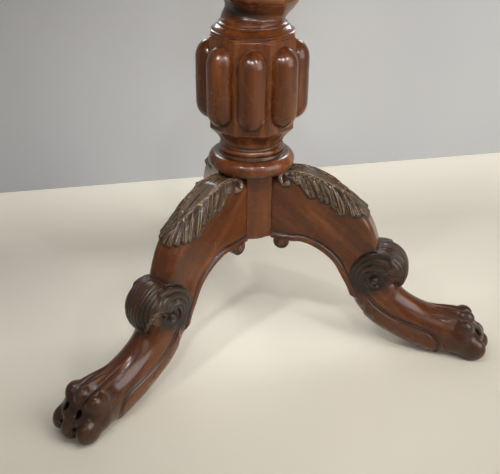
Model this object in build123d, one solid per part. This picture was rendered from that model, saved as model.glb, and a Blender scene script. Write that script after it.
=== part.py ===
from build123d import *
from math import atan2, ceil, cos, degrees, hypot, pi, radians, sin, tan
import os

os.makedirs("parts", exist_ok=True)

# Tilt-top tripod table in carved and polished mahogany, millimetres.
# The origin is on the floor under the middle of the pillar, +Z up, the rear leg along +Y.

# Whole table
table_height = 728.0
top_radius = 455.0
top_thickness = 22.0
leg_count = 3
leg_spacing = 360.0 / leg_count
rear_leg_angle = 90.0
glue_gap = 0.05
seat_gap = 0.3
side_gap = 0.5
overrun = 3.0

# Pillar base: the foot that takes the legs, the torus and the cove, turned in one piece
foot_bottom = 171.0
foot_seat = 33.3
foot_flat = 35.4
torus_height = 281.6
torus_ring = 48.5
torus_tube = 11.8
fillet_radius = 46.3
fillet_bottom = 294.6
fillet_top = 299.0
cove_rise = 3.4
neck_ring_radius = 43.6
neck_ring_height = 3.6
neck_ring_top = 306.5
neck_radius = 41.5
neck_height = 311.0
spigot_radius = 19.0
spigot_length = 60.0

# Octagonal knop with a turned boss on each face
knop_sides = 8
knop_turn = -19.4
knop_bottom = 333.0
knop_top = 459.0
knop_apothem = 56.0
knop_waist_apothem = 44.5
knop_band_height = 3.4
knop_band_step = 1.6
spigot_end_gap = 1.5
boss_bottom = 340.0
boss_top = 448.0
boss_radius = 19.7

# Twisted stem between the knop and the hinge block
collar_radius = 55.4
collar_height = 463.0
collar_bead_top = 473.0
collar_step = 1.6
stem_neck_radius = 42.0
stem_neck_top = 476.0
twist_radius = 48.6
twist_throw = 10.7
twist_top_radius = 25.8
twist_pitch = -48.0
twist_crest_angle = -19.4
twist_crest_height = 500.0
twist_sections = 34
stem_ring_radius = 31.0
stem_ring_height = 8.0
stem_throat_radius = 21.0
stem_throat_length = 37.7
stem_cap_radius = 40.0
stem_cap_height = 14.0
stem_spigot_radius = 17.0
stem_spigot_length = 58.0

# Legs, each sawn from one plank and carved with a leaf, a scrolled knee and a paw
leg_thickness = 43.4
leg_top_round_share = 0.0335
leg_reach = 358.5
leg_rise = 277.0
bead_width = 11.0
bead_proud = 2.4
bead_round = 3.4
volute_radius = 11.2
leaf_proud = 2.2
leaf_lift = 0.4
leaf_round_share = 0.0251
leaf_scroll_radius = 10.0
leaf_scroll_proud = 4.0
knee_radius = 36.5
knee_half_width = 31.0
knee_shoulder_radius = 31.5
knee_shoulder_half_width = 24.0
knee_end_radius = 21.0
eye_radius = 8.5
eye_proud = 2.4
toe_spacing = 23.5
toe_half_width = 13.6
toe_length = 42.0
toe_thickness = 38.6
knuckle_setback = 45.0
knuckle_length = 44.0
knuckle_thickness = 31.0
knuckle_height = 54.5
middle_toe_forward = 4.5
web_length = 40.0
web_thickness = 48.0
web_step = 2.0

# Dovetail that holds each leg to the pillar base
dovetail_length = 15.0
dovetail_root = 12.0
dovetail_tip = 17.0
dovetail_height = 85.0

# Iron plate that closes the dovetails under the pillar
iron_plate_thickness = 3.0
iron_plate_radius = 32.0
iron_screw_circle = 25.0
iron_screw_radius = 2.0
iron_screw_head = 3.9
iron_screw_length = 22.0

# Hinge block, pivots and bearers
block_width = 172.0
block_depth = 176.0
block_thickness = 34.0
pivot_radius = 9.0
pivot_proud = 17.0
pivot_inset = 40.0
pivot_clearance = 0.06
pivot_end_gap = 0.8
bearer_thickness = 26.0
bearer_height = 42.0
bearer_length = 700.0
bearer_end_height = 16.0
bearer_taper = 120.0
bearer_screw_radius = 2.4
bearer_screw_head = 4.6
bearer_screw_length = 31.0
bearer_screw_depth = 24.0
wedge_thickness = 4.0
wedge_depth = 26.0

# Tabletop edge
edge_under_round = 7.0
edge_band = 5.0
edge_step = 3.0
edge_thumb = 10.0

# Brass slide bolt and keeper
bolt_plate_length = 74.0
bolt_plate_width = 26.0
bolt_plate_thickness = 3.0
bolt_plate_setback = 7.0
bolt_width = 11.0
bolt_thickness = 5.0
bolt_travel = 14.0
bolt_clear = 2.5
bolt_gap = 0.3
bolt_knob_radius = 4.5
bolt_knob_height = 9.0
staple_length = 9.0
staple_wall = 2.0
staple_inset = 9.0
bolt_nose = 1.5
mortise_gap = 0.5
keeper_drop = 9.0
keeper_width = 34.0
keeper_thickness = 2.0
brass_screw_radius = 1.3
brass_screw_head = 2.5
brass_screw_length = 12.0
brass_screw_inset = 4.5

# Shapes as shares of the sizes above
cove_bow_share = 0.3
knop_waist_share = 0.35
boss_end_share = 1.25
boss_shoulder_shares = (0.72, 0.68)
twist_shares = [(0.0, 0.854, 0.0), (0.044, 0.860, 0.1), (0.088, 0.874, 0.3), (0.132, 0.901, 0.6)]
twist_shares += [(0.176, 0.936, 0.85), (0.22, 0.967, 0.97), (0.32, 1.0, 1.0), (0.43, 0.967, 0.96)]
twist_shares += [(0.54, 0.885, 0.88), (0.65, 0.782, 0.78), (0.76, 0.68, 0.67), (0.87, 0.586, 0.51)]
twist_shares += [(0.95, 0.531, 0.23), (1.0, 0.514, 0.0)]
wedge_width_share = 0.8
volute_shares = (0.047, 0.592)
leaf_scroll_shares = (0.061, 0.924)
knee_shares = (0.5, 0.466)
eye_shares = (0.468, 0.425)
leg_top_shares = [(0.0, 0.940), (0.033, 0.960), (0.082, 0.971), (0.131, 0.970), (0.187, 0.953)]
leg_top_shares += [(0.245, 0.923), (0.288, 0.892), (0.328, 0.857), (0.368, 0.818), (0.396, 0.786)]
leg_top_shares += [(0.417, 0.751), (0.436, 0.712), (0.451, 0.672), (0.470, 0.606), (0.482, 0.540)]
leaf_point_count = 12
leg_under_shares = [(0.0, 0.610), (0.09, 0.600), (0.131, 0.603), (0.18, 0.587), (0.233, 0.552)]
leg_under_shares += [(0.279, 0.504), (0.325, 0.422), (0.357, 0.359), (0.378, 0.292)]
leaf_lower_shares = [(0.0, 0.888), (0.064, 0.860), (0.144, 0.848), (0.217, 0.840), (0.282, 0.798)]
leaf_lower_shares += [(0.338, 0.775), (0.372, 0.757), (0.394, 0.733)]
shank_shares = [(0.4265, 0.448, -72, 0.60, 0.52), (0.470, 0.339, -56, 0.70, 0.56)]
shank_shares += [(0.525, 0.253, -43, 0.71, 0.57), (0.605, 0.193, -28, 0.73, 0.57)]
shank_shares += [(0.691, 0.153, -15, 0.75, 0.59), (0.771, 0.139, -6, 0.77, 0.65)]
shank_shares += [(0.829, 0.137, 0, 0.85, 0.73), (0.885, 0.125, 0, 0.72, 0.76), (0.930, 0.105, 0, 0.48, 0.62)]
bearer_screw_shares = (-0.54, 0.1, 0.34, 0.56)
knob_stalk_share = 0.6
knob_head_share = 0.45
knob_round_share = 0.4
toe_sink = 0.6

# Places that follow from the sizes above
top_underside = table_height - top_thickness
block_top = top_underside - seat_gap
block_bottom = block_top - block_thickness
twist_top = block_bottom - stem_cap_height - stem_throat_length - stem_ring_height
pivot_z = block_top - block_thickness / 2
pivot_y = block_thickness / 2 - block_depth / 2
bearer_x = block_width / 2 + side_gap + bearer_thickness / 2
leg_half = leg_thickness / 2
leg_top_round = leg_reach * leg_top_round_share
leaf_round = leg_reach * leaf_round_share
leg_angles = [rear_leg_angle + leg_spacing * n for n in range(leg_count)]
leg_names = ["leg_rear", "leg_left", "leg_right"]


def turned(points):
    """A solid turned about the Z axis from an outline of (radius, height) points and edges."""
    wire = Wire(points)
    return revolve(make_face(wire), Axis.Z)


def outline(points):
    """Straight edges through (radius, height) points, in the XZ plane."""
    flat = [(r, 0, z) for r, z in points]
    return [Line(a, b) for a, b in zip(flat, flat[1:])]


def arc(start, middle, end):
    """One arc through three (radius, height) points, in the XZ plane."""
    return ThreePointArc(*[(r, 0, z) for r, z in (start, middle, end)])


def rod(radius, height):
    """A cylinder that stands on its own base."""
    return Cylinder(radius, height, align=(Align.CENTER, Align.CENTER, Align.MIN))


def slab(width, depth, height):
    """A box that stands on its own base."""
    return Box(width, depth, height, align=(Align.CENTER, Align.CENTER, Align.MIN))


def wood_screw(radius, head, length):
    """A countersunk screw: its head's face is at the origin and it points along +Z."""
    cone = head - radius
    points = [(0, 0), (head, 0), (radius, cone), (radius, length - 2 * radius), (0, length), (0, 0)]
    return turned(outline(points))


def spun(shape, angle):
    """The shape turned about the pillar's axis."""
    return shape.rotate(Axis.Z, angle)


# Pillar base
def foot_prism():
    """The six-sided foot: three seats for the legs and three flats between them."""
    corners = []
    half_spacing = radians(leg_spacing / 2)
    reach_out = (foot_flat - foot_seat * cos(half_spacing)) / sin(half_spacing)
    for angle in leg_angles:
        for side in (-1, 1):
            along = radians(angle)
            x = foot_seat * cos(along) - side * reach_out * sin(along)
            y = foot_seat * sin(along) + side * reach_out * cos(along)
            corners.append((x, y, foot_bottom))
    face = make_face(Polyline(*corners, close=True))
    return extrude(face, torus_height - foot_bottom, dir=(0, 0, 1))


def base_turning():
    """Torus, fillet, cove, neck ring and the spigot that enters the knop."""
    under = (torus_ring, torus_height - torus_tube)
    outer = (torus_ring + torus_tube, torus_height)
    over = (torus_ring, torus_height + torus_tube)
    cove_out = (fillet_radius, fillet_top)
    cove_in = (neck_radius, fillet_top + cove_rise)
    cove_mid = (neck_radius + cove_rise * cove_bow_share, fillet_top + cove_rise * cove_bow_share)
    ring_low = (neck_radius, neck_ring_top - neck_ring_height)
    ring_mid = (neck_ring_radius, neck_ring_top - neck_ring_height / 2)
    ring_high = (neck_radius, neck_ring_top)
    edges = outline([(0, torus_height - torus_tube), under])
    edges.append(arc(under, outer, over))
    edges += outline([over, (fillet_radius, fillet_bottom), cove_out])
    edges.append(arc(cove_out, cove_mid, cove_in))
    edges += outline([cove_in, ring_low])
    edges.append(arc(ring_low, ring_mid, ring_high))
    spigot_top = neck_height + spigot_length
    edges += outline([ring_high, (neck_radius, neck_height), (spigot_radius, neck_height)])
    edges += outline([(spigot_radius, neck_height), (spigot_radius, spigot_top), (0, spigot_top)])
    edges += outline([(0, spigot_top), (0, torus_height - torus_tube)])
    return turned(edges)


def dovetail(gap):
    """The key of a leg along +X, or with a gap the slot it slides into from below."""
    tip = foot_seat - dovetail_length - gap
    root = foot_seat + overrun
    points = [(root, -dovetail_root / 2 - gap), (root, dovetail_root / 2 + gap)]
    points += [(tip, dovetail_tip / 2 + gap), (tip, -dovetail_tip / 2 - gap)]
    face = make_face(Polyline(*[(x, y, foot_bottom) for x, y in points], close=True))
    return extrude(face, dovetail_height + gap, dir=(0, 0, 1))


# Octagonal knop
def octagon(apothem, height):
    """A face of the knop's plan at one height."""
    radius = apothem / cos(pi / knop_sides)
    first = radians(knop_turn - 90) + pi / knop_sides
    step = 2 * pi / knop_sides
    corners = []
    for n in range(knop_sides):
        corners.append((radius * cos(first + step * n), radius * sin(first + step * n), height))
    return make_face(Polyline(*corners, close=True))


def knop_block():
    """The octagonal block, with its ogee underside, the thin band on top and both sockets."""
    waist_top = neck_height + (knop_bottom - neck_height) * knop_waist_share
    waist = loft([octagon(neck_radius, neck_height), octagon(knop_waist_apothem, waist_top)])
    flare = loft([octagon(knop_waist_apothem, waist_top), octagon(knop_apothem, knop_bottom)])
    band_bottom = knop_top - knop_band_height
    body = extrude(octagon(knop_apothem, knop_bottom), band_bottom - knop_bottom, dir=(0, 0, 1))
    band = extrude(octagon(knop_apothem - knop_band_step, band_bottom), knop_band_height, dir=(0, 0, 1))
    lower_socket = rod(spigot_radius + glue_gap, spigot_length + spigot_end_gap + overrun)
    upper_socket = rod(stem_spigot_radius + glue_gap, stem_spigot_length + spigot_end_gap + overrun)
    solid = waist + flare + body + band
    solid -= Pos(0, 0, neck_height - overrun) * lower_socket
    solid -= Pos(0, 0, knop_top - stem_spigot_length - spigot_end_gap) * upper_socket
    return solid


def boss():
    """A split turning, flat at the back, that stands on a knop face looking along +X."""
    low = (0, boss_bottom)
    high = (0, boss_top)
    out, up = boss_shoulder_shares
    rise = boss_radius * boss_end_share
    foot_edge = (boss_radius, boss_bottom + rise)
    head_edge = (boss_radius, boss_top - rise)
    foot_mid = (boss_radius * out, boss_bottom + rise * (1 - up))
    head_mid = (boss_radius * out, boss_top - rise * (1 - up))
    edges = [arc(low, foot_mid, foot_edge), *outline([foot_edge, head_edge]), arc(head_edge, head_mid, high)]
    face = make_face(edges + outline([high, low]))
    half = revolve(face.rotate(Axis.Z, -90), Axis.Z, 180)
    return Pos(knop_apothem, 0, 0) * half


# Twisted stem
def between(rows, at):
    """The values that belong to a place between the rows of a list, in a straight line."""
    for before, after in zip(rows, rows[1:]):
        if before[0] <= at <= after[0]:
            part = (at - before[0]) / (after[0] - before[0])
            return [a + part * (b - a) for a, b in zip(before[1:], after[1:])]


def twist():
    """The single spiral of the baluster: round sections whose centres wind about the axis."""
    sections = []
    for n in range(twist_sections + 1):
        share = n / twist_sections
        height = stem_neck_top + (twist_top - stem_neck_top) * share
        size, throw = between(twist_shares, share)
        turn = radians(twist_crest_angle) + 2 * pi * (height - twist_crest_height) / twist_pitch
        x = twist_throw * throw * cos(turn)
        y = twist_throw * throw * sin(turn)
        sections.append(Pos(x, y, height) * Circle(twist_radius * size))
    return loft(sections)


def stem_turning():
    """The plain turned lengths of the stem: collar, rings, cap and the spigots at both ends."""
    low = knop_top - stem_spigot_length
    bead_in = (stem_neck_radius + collar_step, collar_bead_top)
    bead_mid = (collar_radius - collar_step / 2, (collar_height + collar_bead_top) / 2)
    bead_out = (collar_radius - collar_step, collar_height)
    shoulder = (stem_spigot_radius, knop_top)
    lower = outline([(0, low), (stem_spigot_radius, low), shoulder, (collar_radius, knop_top)])
    lower += outline([(collar_radius, knop_top), (collar_radius, collar_height), bead_out])
    lower.append(arc(bead_out, bead_mid, bead_in))
    lower += outline([bead_in, (stem_neck_radius, collar_bead_top), (stem_neck_radius, stem_neck_top)])
    lower += outline([(stem_neck_radius, stem_neck_top), (0, stem_neck_top), (0, low)])
    ring_top = twist_top + stem_ring_height
    cap_low = block_bottom - stem_cap_height
    throat_mid = (stem_throat_radius, (ring_top + cap_low) / 2)
    ring_edge = (twist_top_radius, ring_top)
    cap_edge = (stem_cap_radius, cap_low)
    spigot_top = block_top - spigot_end_gap
    ring_low = (twist_top_radius, twist_top)
    upper = outline([(0, twist_top), ring_low])
    upper.append(arc(ring_low, (stem_ring_radius, twist_top + stem_ring_height / 2), ring_edge))
    upper.append(arc(ring_edge, throat_mid, cap_edge))
    upper += outline([cap_edge, (stem_cap_radius, block_bottom), (stem_spigot_radius, block_bottom)])
    upper += outline([(stem_spigot_radius, block_bottom), (stem_spigot_radius, spigot_top), (0, spigot_top)])
    upper += outline([(0, spigot_top), (0, twist_top)])
    return turned(lower), turned(upper)


def wedge():
    """The hardwood wedge that spreads the stem's top spigot in the block."""
    half = wedge_thickness / 2
    low = block_top - wedge_depth
    high = block_top - spigot_end_gap
    points = [(-half, 0, high), (half, 0, high), (half / 2, 0, low), (-half / 2, 0, low)]
    width = 2 * stem_spigot_radius * wedge_width_share
    return extrude(make_face(Polyline(*points, close=True)), width / 2, dir=(0, 1, 0), both=True)


# Legs, drawn along +X in the XZ plane
def side(shares):
    """A place on the side of a leg, from its shares of the leg's reach and rise."""
    along, up = shares
    return (foot_seat + along * (leg_reach - foot_seat), 0, up * leg_rise)


def plate(edges, half):
    """A piece of the leg sawn to an outline, centred on the leg's plane."""
    return extrude(make_face(edges), half, dir=(0, 1, 0), both=True)


def disc(shares, radius, half):
    """A round boss across the leg at a place on its side."""
    x, y, z = side(shares)
    return Pos(x, 0, z) * Rot(90, 0, 0) * Cylinder(radius, 2 * half)


def upper_leg():
    """The flat-sided upper half of the leg between the foot and the knee."""
    top = [side(p) for p in leg_top_shares]
    under = [side(p) for p in leg_under_shares]
    edges = [Spline(*top), Line(top[-1], under[-1]), Spline(*under), Line(under[0], top[0])]
    sawn = plate(edges, leg_half)
    return fillet(sawn.edges().filter_by(GeomType.BSPLINE).sort_by(Axis.Z)[-2:], leg_top_round)


def under_bead():
    """The bead moulding that follows the under edge, from the small volute to the knee."""
    under = [side(p) for p in leg_under_shares[1:]]
    inner = []
    for before, here, after in zip([under[0]] + under, under, under[1:] + [under[-1]]):
        dx = after[0] - before[0]
        dz = after[2] - before[2]
        size = hypot(dx, dz)
        inner.append((here[0] - bead_width * dz / size, 0, here[2] + bead_width * dx / size))
    edges = [Spline(*under), Line(under[-1], inner[-1]), Spline(*inner), Line(inner[0], under[0])]
    band = plate(edges, leg_half + bead_proud)
    long_edges = band.edges().filter_by(GeomType.BSPLINE)
    return fillet(long_edges, bead_round)


def leaf():
    """The ground of the acanthus leaf that covers the shoulder and hangs down both sides."""
    lifted = []
    for x, y, z in (side(p) for p in leg_top_shares[:leaf_point_count]):
        lifted.append((x + leaf_lift, y, z + leaf_lift))
    lower = [side(p) for p in leaf_lower_shares]
    edges = [Spline(*lifted), Line(lifted[-1], lower[-1]), Spline(*lower), Line(lower[0], lifted[0])]
    sawn = plate(edges, leg_half + leaf_proud)
    ground = fillet(sawn.edges().filter_by(GeomType.BSPLINE).sort_by(Axis.Z)[-2:], leaf_round)
    scroll = disc(leaf_scroll_shares, leaf_scroll_radius, leg_half + leaf_scroll_proud)
    return ground + scroll


def knee():
    """The scrolled knee: a reeded barrel across the leg, with an eye at each end."""
    x, y, z = side(knee_shares)
    crown = [(knee_shoulder_radius, -knee_shoulder_half_width), (knee_radius, 0)]
    crown.append((knee_shoulder_radius, knee_shoulder_half_width))
    rim = Line((knee_end_radius, -knee_half_width, 0), (*crown[0], 0))
    top = ThreePointArc(*[(r, w, 0) for r, w in crown])
    back = Line((*crown[-1], 0), (knee_end_radius, knee_half_width, 0))
    corners = [(knee_end_radius, knee_half_width), (0, knee_half_width)]
    corners += [(r, -w) for r, w in reversed(corners)]
    ends = Polyline(*[(r, w, 0) for r, w in corners])
    barrel = revolve(make_face([rim, top, back, ends]), Axis.Y)
    return Pos(x, 0, z) * barrel + disc(eye_shares, eye_radius, knee_half_width + eye_proud)


def lower_leg():
    """The rounded lower leg, from inside the knee to the heart of the paw."""
    sections = []
    for along, up, lean, half_height, half_width in shank_shares:
        x, y, z = side((along, up))
        place = Plane(origin=(x, 0, z), x_dir=(0, 1, 0), z_dir=(cos(radians(lean)), 0, sin(radians(lean))))
        sections.append(place * Ellipse(leg_thickness * half_width, leg_thickness * half_height))
    return loft(sections)


def ball(x, y, z, length, width, height):
    """A rounded swelling of the given full sizes."""
    unit = Sphere(1)
    return Pos(x, y, z) * scale(unit, by=(length / 2, width / 2, height / 2))


def paw():
    """Three toes, each with its knuckle above and its tip on the floor."""
    shapes = []
    for toe in (-1, 0, 1):
        forward = middle_toe_forward * (1 - abs(toe))
        y = toe * toe_spacing
        tip_x = leg_reach - middle_toe_forward - toe_length / 2 + forward
        width = 2 * toe_half_width
        shapes.append(ball(tip_x, y, toe_thickness / 2 - toe_sink, toe_length, width, toe_thickness))
        knuckle_x = leg_reach - middle_toe_forward - knuckle_setback + forward
        shapes.append(ball(knuckle_x, y, knuckle_height, knuckle_length, width, knuckle_thickness))
        web_x = (tip_x + knuckle_x) / 2
        web_z = (knuckle_height + toe_thickness / 2) / 2
        shapes.append(ball(web_x, y, web_z, web_length, width - web_step, web_thickness))
    return shapes


def leg(blocker):
    """One whole leg along +X: the parts above grown into one solid, cut to the floor and the pillar."""
    solid = upper_leg() + under_bead() + leaf() + knee()
    solid += disc(volute_shares, volute_radius, leg_half + bead_proud)
    solid += lower_leg()
    for shape in paw():
        solid += shape
    under_floor = slab(2 * leg_reach + leg_thickness, 2 * leg_thickness, leg_thickness)
    solid -= Pos(leg_reach / 2, 0, -leg_thickness) * under_floor
    solid -= blocker
    return solid + dovetail(0)


# Iron plate and its screws
def iron_plate(screws):
    """The round plate that closes the dovetail slots from below."""
    solid = Pos(0, 0, foot_bottom - iron_plate_thickness) * rod(iron_plate_radius, iron_plate_thickness)
    for screw in screws:
        solid -= screw
    return solid


def iron_screws():
    """Three screws into the foot and three into the dovetails, heads flush with the plate."""
    shapes = []
    for n in range(2 * leg_count):
        angle = radians(rear_leg_angle + leg_spacing / 2 * n)
        x = iron_screw_circle * cos(angle)
        y = iron_screw_circle * sin(angle)
        one = wood_screw(iron_screw_radius, iron_screw_head, iron_screw_length)
        shapes.append(Pos(x, y, foot_bottom - iron_plate_thickness) * one)
    return shapes


# Hinge block
def hinge_block():
    """The block on top of the stem, its upper front edge rounded about the pivots."""
    body = Pos(0, 0, block_bottom) * slab(block_width, block_depth, block_thickness)
    upper_front = body.edges().filter_by(Axis.X).group_by(Axis.Z)[-1].sort_by(Axis.Y)[0]
    return fillet(upper_front, block_thickness / 2)


def pivot(direction):
    """One turned pivot, glued in the block and free in its bearer."""
    length = pivot_inset + pivot_proud
    middle = direction * (block_width / 2 + (pivot_proud - pivot_inset) / 2)
    return Pos(middle, pivot_y, pivot_z) * Rot(0, 90, 0) * Cylinder(pivot_radius, length)


def pivot_socket(direction, extra, clearance):
    """The room that a pivot takes: in the block, or with clearance in the bearer."""
    length = pivot_inset + pivot_proud + extra
    middle = direction * (block_width / 2 - pivot_inset + length / 2)
    return Pos(middle, pivot_y, pivot_z) * Rot(0, 90, 0) * Cylinder(pivot_radius + clearance, length)


# Bearers under the top
def bearer_screw_places(direction):
    """Where the screws of one bearer stand, on its middle line."""
    return [(direction * bearer_x, share * bearer_length / 2) for share in bearer_screw_shares]


def bearer(direction):
    """One bearer with tapered ends, its pivot hole and its deep screw holes."""
    half = bearer_length / 2
    low = top_underside - bearer_height
    end = top_underside - bearer_end_height
    flat = half - bearer_taper
    points = [(-half, top_underside), (half, top_underside), (half, end)]
    points += [(flat, low), (-flat, low), (-half, end)]
    face = make_face(Polyline(*[(direction * bearer_x, y, z) for y, z in points], close=True))
    solid = extrude(face, bearer_thickness / 2, dir=(1, 0, 0), both=True)
    solid -= pivot_socket(direction, pivot_end_gap, pivot_clearance)
    for x, y in bearer_screw_places(direction):
        well = rod(bearer_screw_head + glue_gap, bearer_screw_depth + overrun)
        shank = rod(bearer_screw_radius + glue_gap, bearer_height)
        solid -= Pos(x, y, low - overrun) * well
        solid -= Pos(x, y, low) * shank
    return solid


def bearer_screws(direction):
    """The steel screws that hold one bearer up against the top."""
    seat = top_underside - bearer_height + bearer_screw_depth
    shapes = []
    for x, y in bearer_screw_places(direction):
        head = rod(bearer_screw_head, bearer_screw_head / 2)
        shank = rod(bearer_screw_radius, bearer_screw_length)
        shapes.append(Pos(x, y, seat - bearer_screw_head / 2) * head + Pos(x, y, seat) * shank)
    return shapes


# Tabletop
def table_top(holes):
    """The round top with its thumb-moulded edge."""
    under_in = (top_radius - edge_under_round, top_underside)
    slack = 1 - sin(pi / 4)
    under_mid = (top_radius - edge_under_round * slack, top_underside + edge_under_round * slack)
    under_out = (top_radius, top_underside + edge_under_round)
    band_top = (top_radius, top_underside + edge_under_round + edge_band)
    step_in = (top_radius - edge_step, band_top[1])
    rise = table_height - band_top[1]
    thumb_mid = (step_in[0] - edge_thumb * slack, table_height - rise * slack)
    thumb_in = (step_in[0] - edge_thumb, table_height)
    edges = outline([(0, top_underside), under_in])
    edges.append(arc(under_in, under_mid, under_out))
    edges += outline([under_out, band_top, step_in])
    edges.append(arc(step_in, thumb_mid, thumb_in))
    edges += outline([thumb_in, (0, table_height), (0, top_underside)])
    solid = turned(edges)
    for hole in holes:
        solid -= hole
    return solid


# Brass slide bolt
bolt_centre_y = block_depth / 2 + keeper_thickness + bolt_plate_setback + bolt_plate_length / 2
bolt_plate_z = top_underside - bolt_plate_thickness
bolt_z = bolt_plate_z - bolt_gap - bolt_thickness
bolt_tip_y = block_depth / 2 + keeper_thickness + bolt_clear


def plate_screw_places():
    """Where the screws of the bolt's plate stand."""
    along = bolt_plate_length / 2 - brass_screw_inset
    across = bolt_plate_width / 2 - brass_screw_inset
    return [(i * across, bolt_centre_y + j * along) for i in (-1, 1) for j in (-1, 1)]


def keeper_screw_places():
    """Where the screws of the keeper stand."""
    across = keeper_width / 2 - brass_screw_inset
    middle = bolt_z + bolt_thickness / 2
    return [(-across, middle), (across, middle)]


def bolt_plate(screws):
    """The plate under the top with the two staples that guide the bolt."""
    back = slab(bolt_plate_width, bolt_plate_length, bolt_plate_thickness)
    solid = Pos(0, bolt_centre_y, bolt_plate_z) * back
    outer_width = bolt_width + 2 * (bolt_gap + staple_wall)
    drop = bolt_thickness + 2 * bolt_gap + staple_wall
    passage = Pos(0, bolt_centre_y, bolt_plate_z - bolt_thickness - 2 * bolt_gap)
    passage *= slab(bolt_width + 2 * bolt_gap, 2 * bolt_plate_length, bolt_thickness + 2 * bolt_gap)
    for direction in (-1, 1):
        y = bolt_centre_y + direction * (bolt_plate_length / 2 - staple_inset - staple_length / 2)
        staple = Pos(0, y, bolt_plate_z - drop) * slab(outer_width, staple_length, drop)
        solid += staple - passage
    for screw in screws:
        solid -= screw
    return solid


def slide_bolt():
    """The bolt with its round knob, drawn back clear of the keeper."""
    tail_y = bolt_centre_y + bolt_plate_length / 2 - staple_inset / 2
    length = tail_y - bolt_tip_y
    bar = Pos(0, bolt_tip_y + length / 2, bolt_z) * slab(bolt_width, length, bolt_thickness)
    front = bar.edges().filter_by(Axis.Z).group_by(Axis.Y)[0]
    bar = chamfer(front, bolt_nose)
    rear_staple = bolt_centre_y + bolt_plate_length / 2 - staple_inset - staple_length
    knob_y = rear_staple - bolt_knob_radius - side_gap
    hang = Pos(0, knob_y, bolt_z - bolt_knob_height)
    stalk = hang * rod(bolt_knob_radius * knob_stalk_share, bolt_knob_height)
    knob = hang * rod(bolt_knob_radius, bolt_knob_height * knob_head_share)
    knob = fillet(knob.edges(), bolt_knob_height * knob_head_share * knob_round_share)
    return bar + stalk + knob


def keeper(screws):
    """The brass plate let over the mortise that the bolt enters."""
    y = block_depth / 2
    low = bolt_z + bolt_thickness / 2 - keeper_drop
    height = block_top - seat_gap - low
    solid = Pos(0, y + keeper_thickness / 2, low) * slab(keeper_width, keeper_thickness, height)
    solid -= bolt_mortise()
    for screw in screws:
        solid -= screw
    return solid


def bolt_mortise():
    """The room for the bolt in the keeper and the block behind it."""
    width = bolt_width + 2 * mortise_gap
    height = bolt_thickness + 2 * mortise_gap
    depth = bolt_travel + keeper_thickness + overrun
    y = block_depth / 2 + keeper_thickness + overrun - depth / 2 - overrun / 2
    return Pos(0, y, bolt_z - mortise_gap) * slab(width, depth + overrun, height)


def build():
    """Every piece of the table by name."""
    pieces = {}
    prism = foot_prism()
    turning = base_turning()
    base = prism + turning
    legs_blocker = base
    for angle in leg_angles:
        base -= spun(dovetail(glue_gap), angle)
    screws = iron_screws()
    leg_solid = leg(legs_blocker.rotate(Axis.Z, -rear_leg_angle))
    for name, angle in zip(leg_names, leg_angles):
        one = spun(leg_solid, angle)
        for screw in screws:
            one -= screw
        pieces[name] = one
    for screw in screws:
        base -= screw
    pieces["pillar_base"] = base
    pieces["dovetail_plate"] = iron_plate(screws)
    pieces["dovetail_plate_screws"] = Compound(screws)
    pieces["pillar_knop"] = knop_block()
    one_boss = boss()
    for n in range(knop_sides):
        pieces[f"knop_boss_{n + 1}"] = spun(one_boss, knop_turn - 90 + 360 / knop_sides * n)
    lower, upper = stem_turning()
    key = wedge()
    pieces["pillar_stem"] = lower + twist() + upper - key
    pieces["spigot_wedge"] = key
    spigot_hole = Pos(0, 0, block_bottom - overrun) * rod(stem_spigot_radius + glue_gap, 2 * block_thickness)
    block = hinge_block() - spigot_hole
    plate_screws = []
    for x, y in plate_screw_places():
        one = wood_screw(brass_screw_radius, brass_screw_head, brass_screw_length)
        plate_screws.append(Pos(x, y, bolt_plate_z) * one)
    keeper_screws = []
    for x, z in keeper_screw_places():
        one = wood_screw(brass_screw_radius, brass_screw_head, brass_screw_length).rotate(Axis.X, 90)
        keeper_screws.append(Pos(x, block_depth / 2 + keeper_thickness, z) * one)
    holes = list(plate_screws)
    for name, direction in (("left", -1), ("right", 1)):
        block -= pivot_socket(direction, 0, glue_gap)
        pieces[f"pivot_{name}"] = pivot(direction)
        pieces[f"bearer_{name}"] = bearer(direction)
        driven = bearer_screws(direction)
        pieces[f"bearer_screws_{name}"] = Compound(driven)
        holes += driven
    block -= bolt_mortise()
    for screw in keeper_screws:
        block -= screw
    pieces["hinge_block"] = block
    pieces["table_top"] = table_top(holes)
    pieces["bolt_plate"] = bolt_plate(plate_screws)
    pieces["bolt_plate_screws"] = Compound(plate_screws)
    pieces["slide_bolt"] = slide_bolt()
    pieces["bolt_keeper"] = keeper(keeper_screws)
    pieces["keeper_screws"] = Compound(keeper_screws)
    return pieces


for node, shape in build().items():
    export_step(shape, f"parts/{node}.step")
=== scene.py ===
from math import cos, pi, radians, sin

import bpy
import numpy as np
from mathutils import Matrix, Vector


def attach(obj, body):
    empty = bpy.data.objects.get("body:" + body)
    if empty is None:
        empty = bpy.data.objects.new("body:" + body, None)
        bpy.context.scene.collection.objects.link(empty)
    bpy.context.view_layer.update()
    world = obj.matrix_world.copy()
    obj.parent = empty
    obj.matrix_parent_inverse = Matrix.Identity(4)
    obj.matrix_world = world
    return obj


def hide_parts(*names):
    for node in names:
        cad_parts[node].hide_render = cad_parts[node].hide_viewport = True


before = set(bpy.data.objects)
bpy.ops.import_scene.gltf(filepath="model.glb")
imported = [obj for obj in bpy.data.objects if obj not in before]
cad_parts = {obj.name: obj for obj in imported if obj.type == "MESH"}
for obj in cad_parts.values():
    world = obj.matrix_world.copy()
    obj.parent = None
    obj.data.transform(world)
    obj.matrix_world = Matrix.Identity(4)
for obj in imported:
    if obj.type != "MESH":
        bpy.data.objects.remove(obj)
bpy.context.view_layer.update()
scene = bpy.context.scene


# ---------------------------------------------------------------- the pillar base
# The bottom of the pillar is one turning in mahogany: three seats for the legs below, then a fat
# torus, a fillet, a cove and a neck ring. It is french-polished, with painted shade in its hollows.
MM = 0.001


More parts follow.
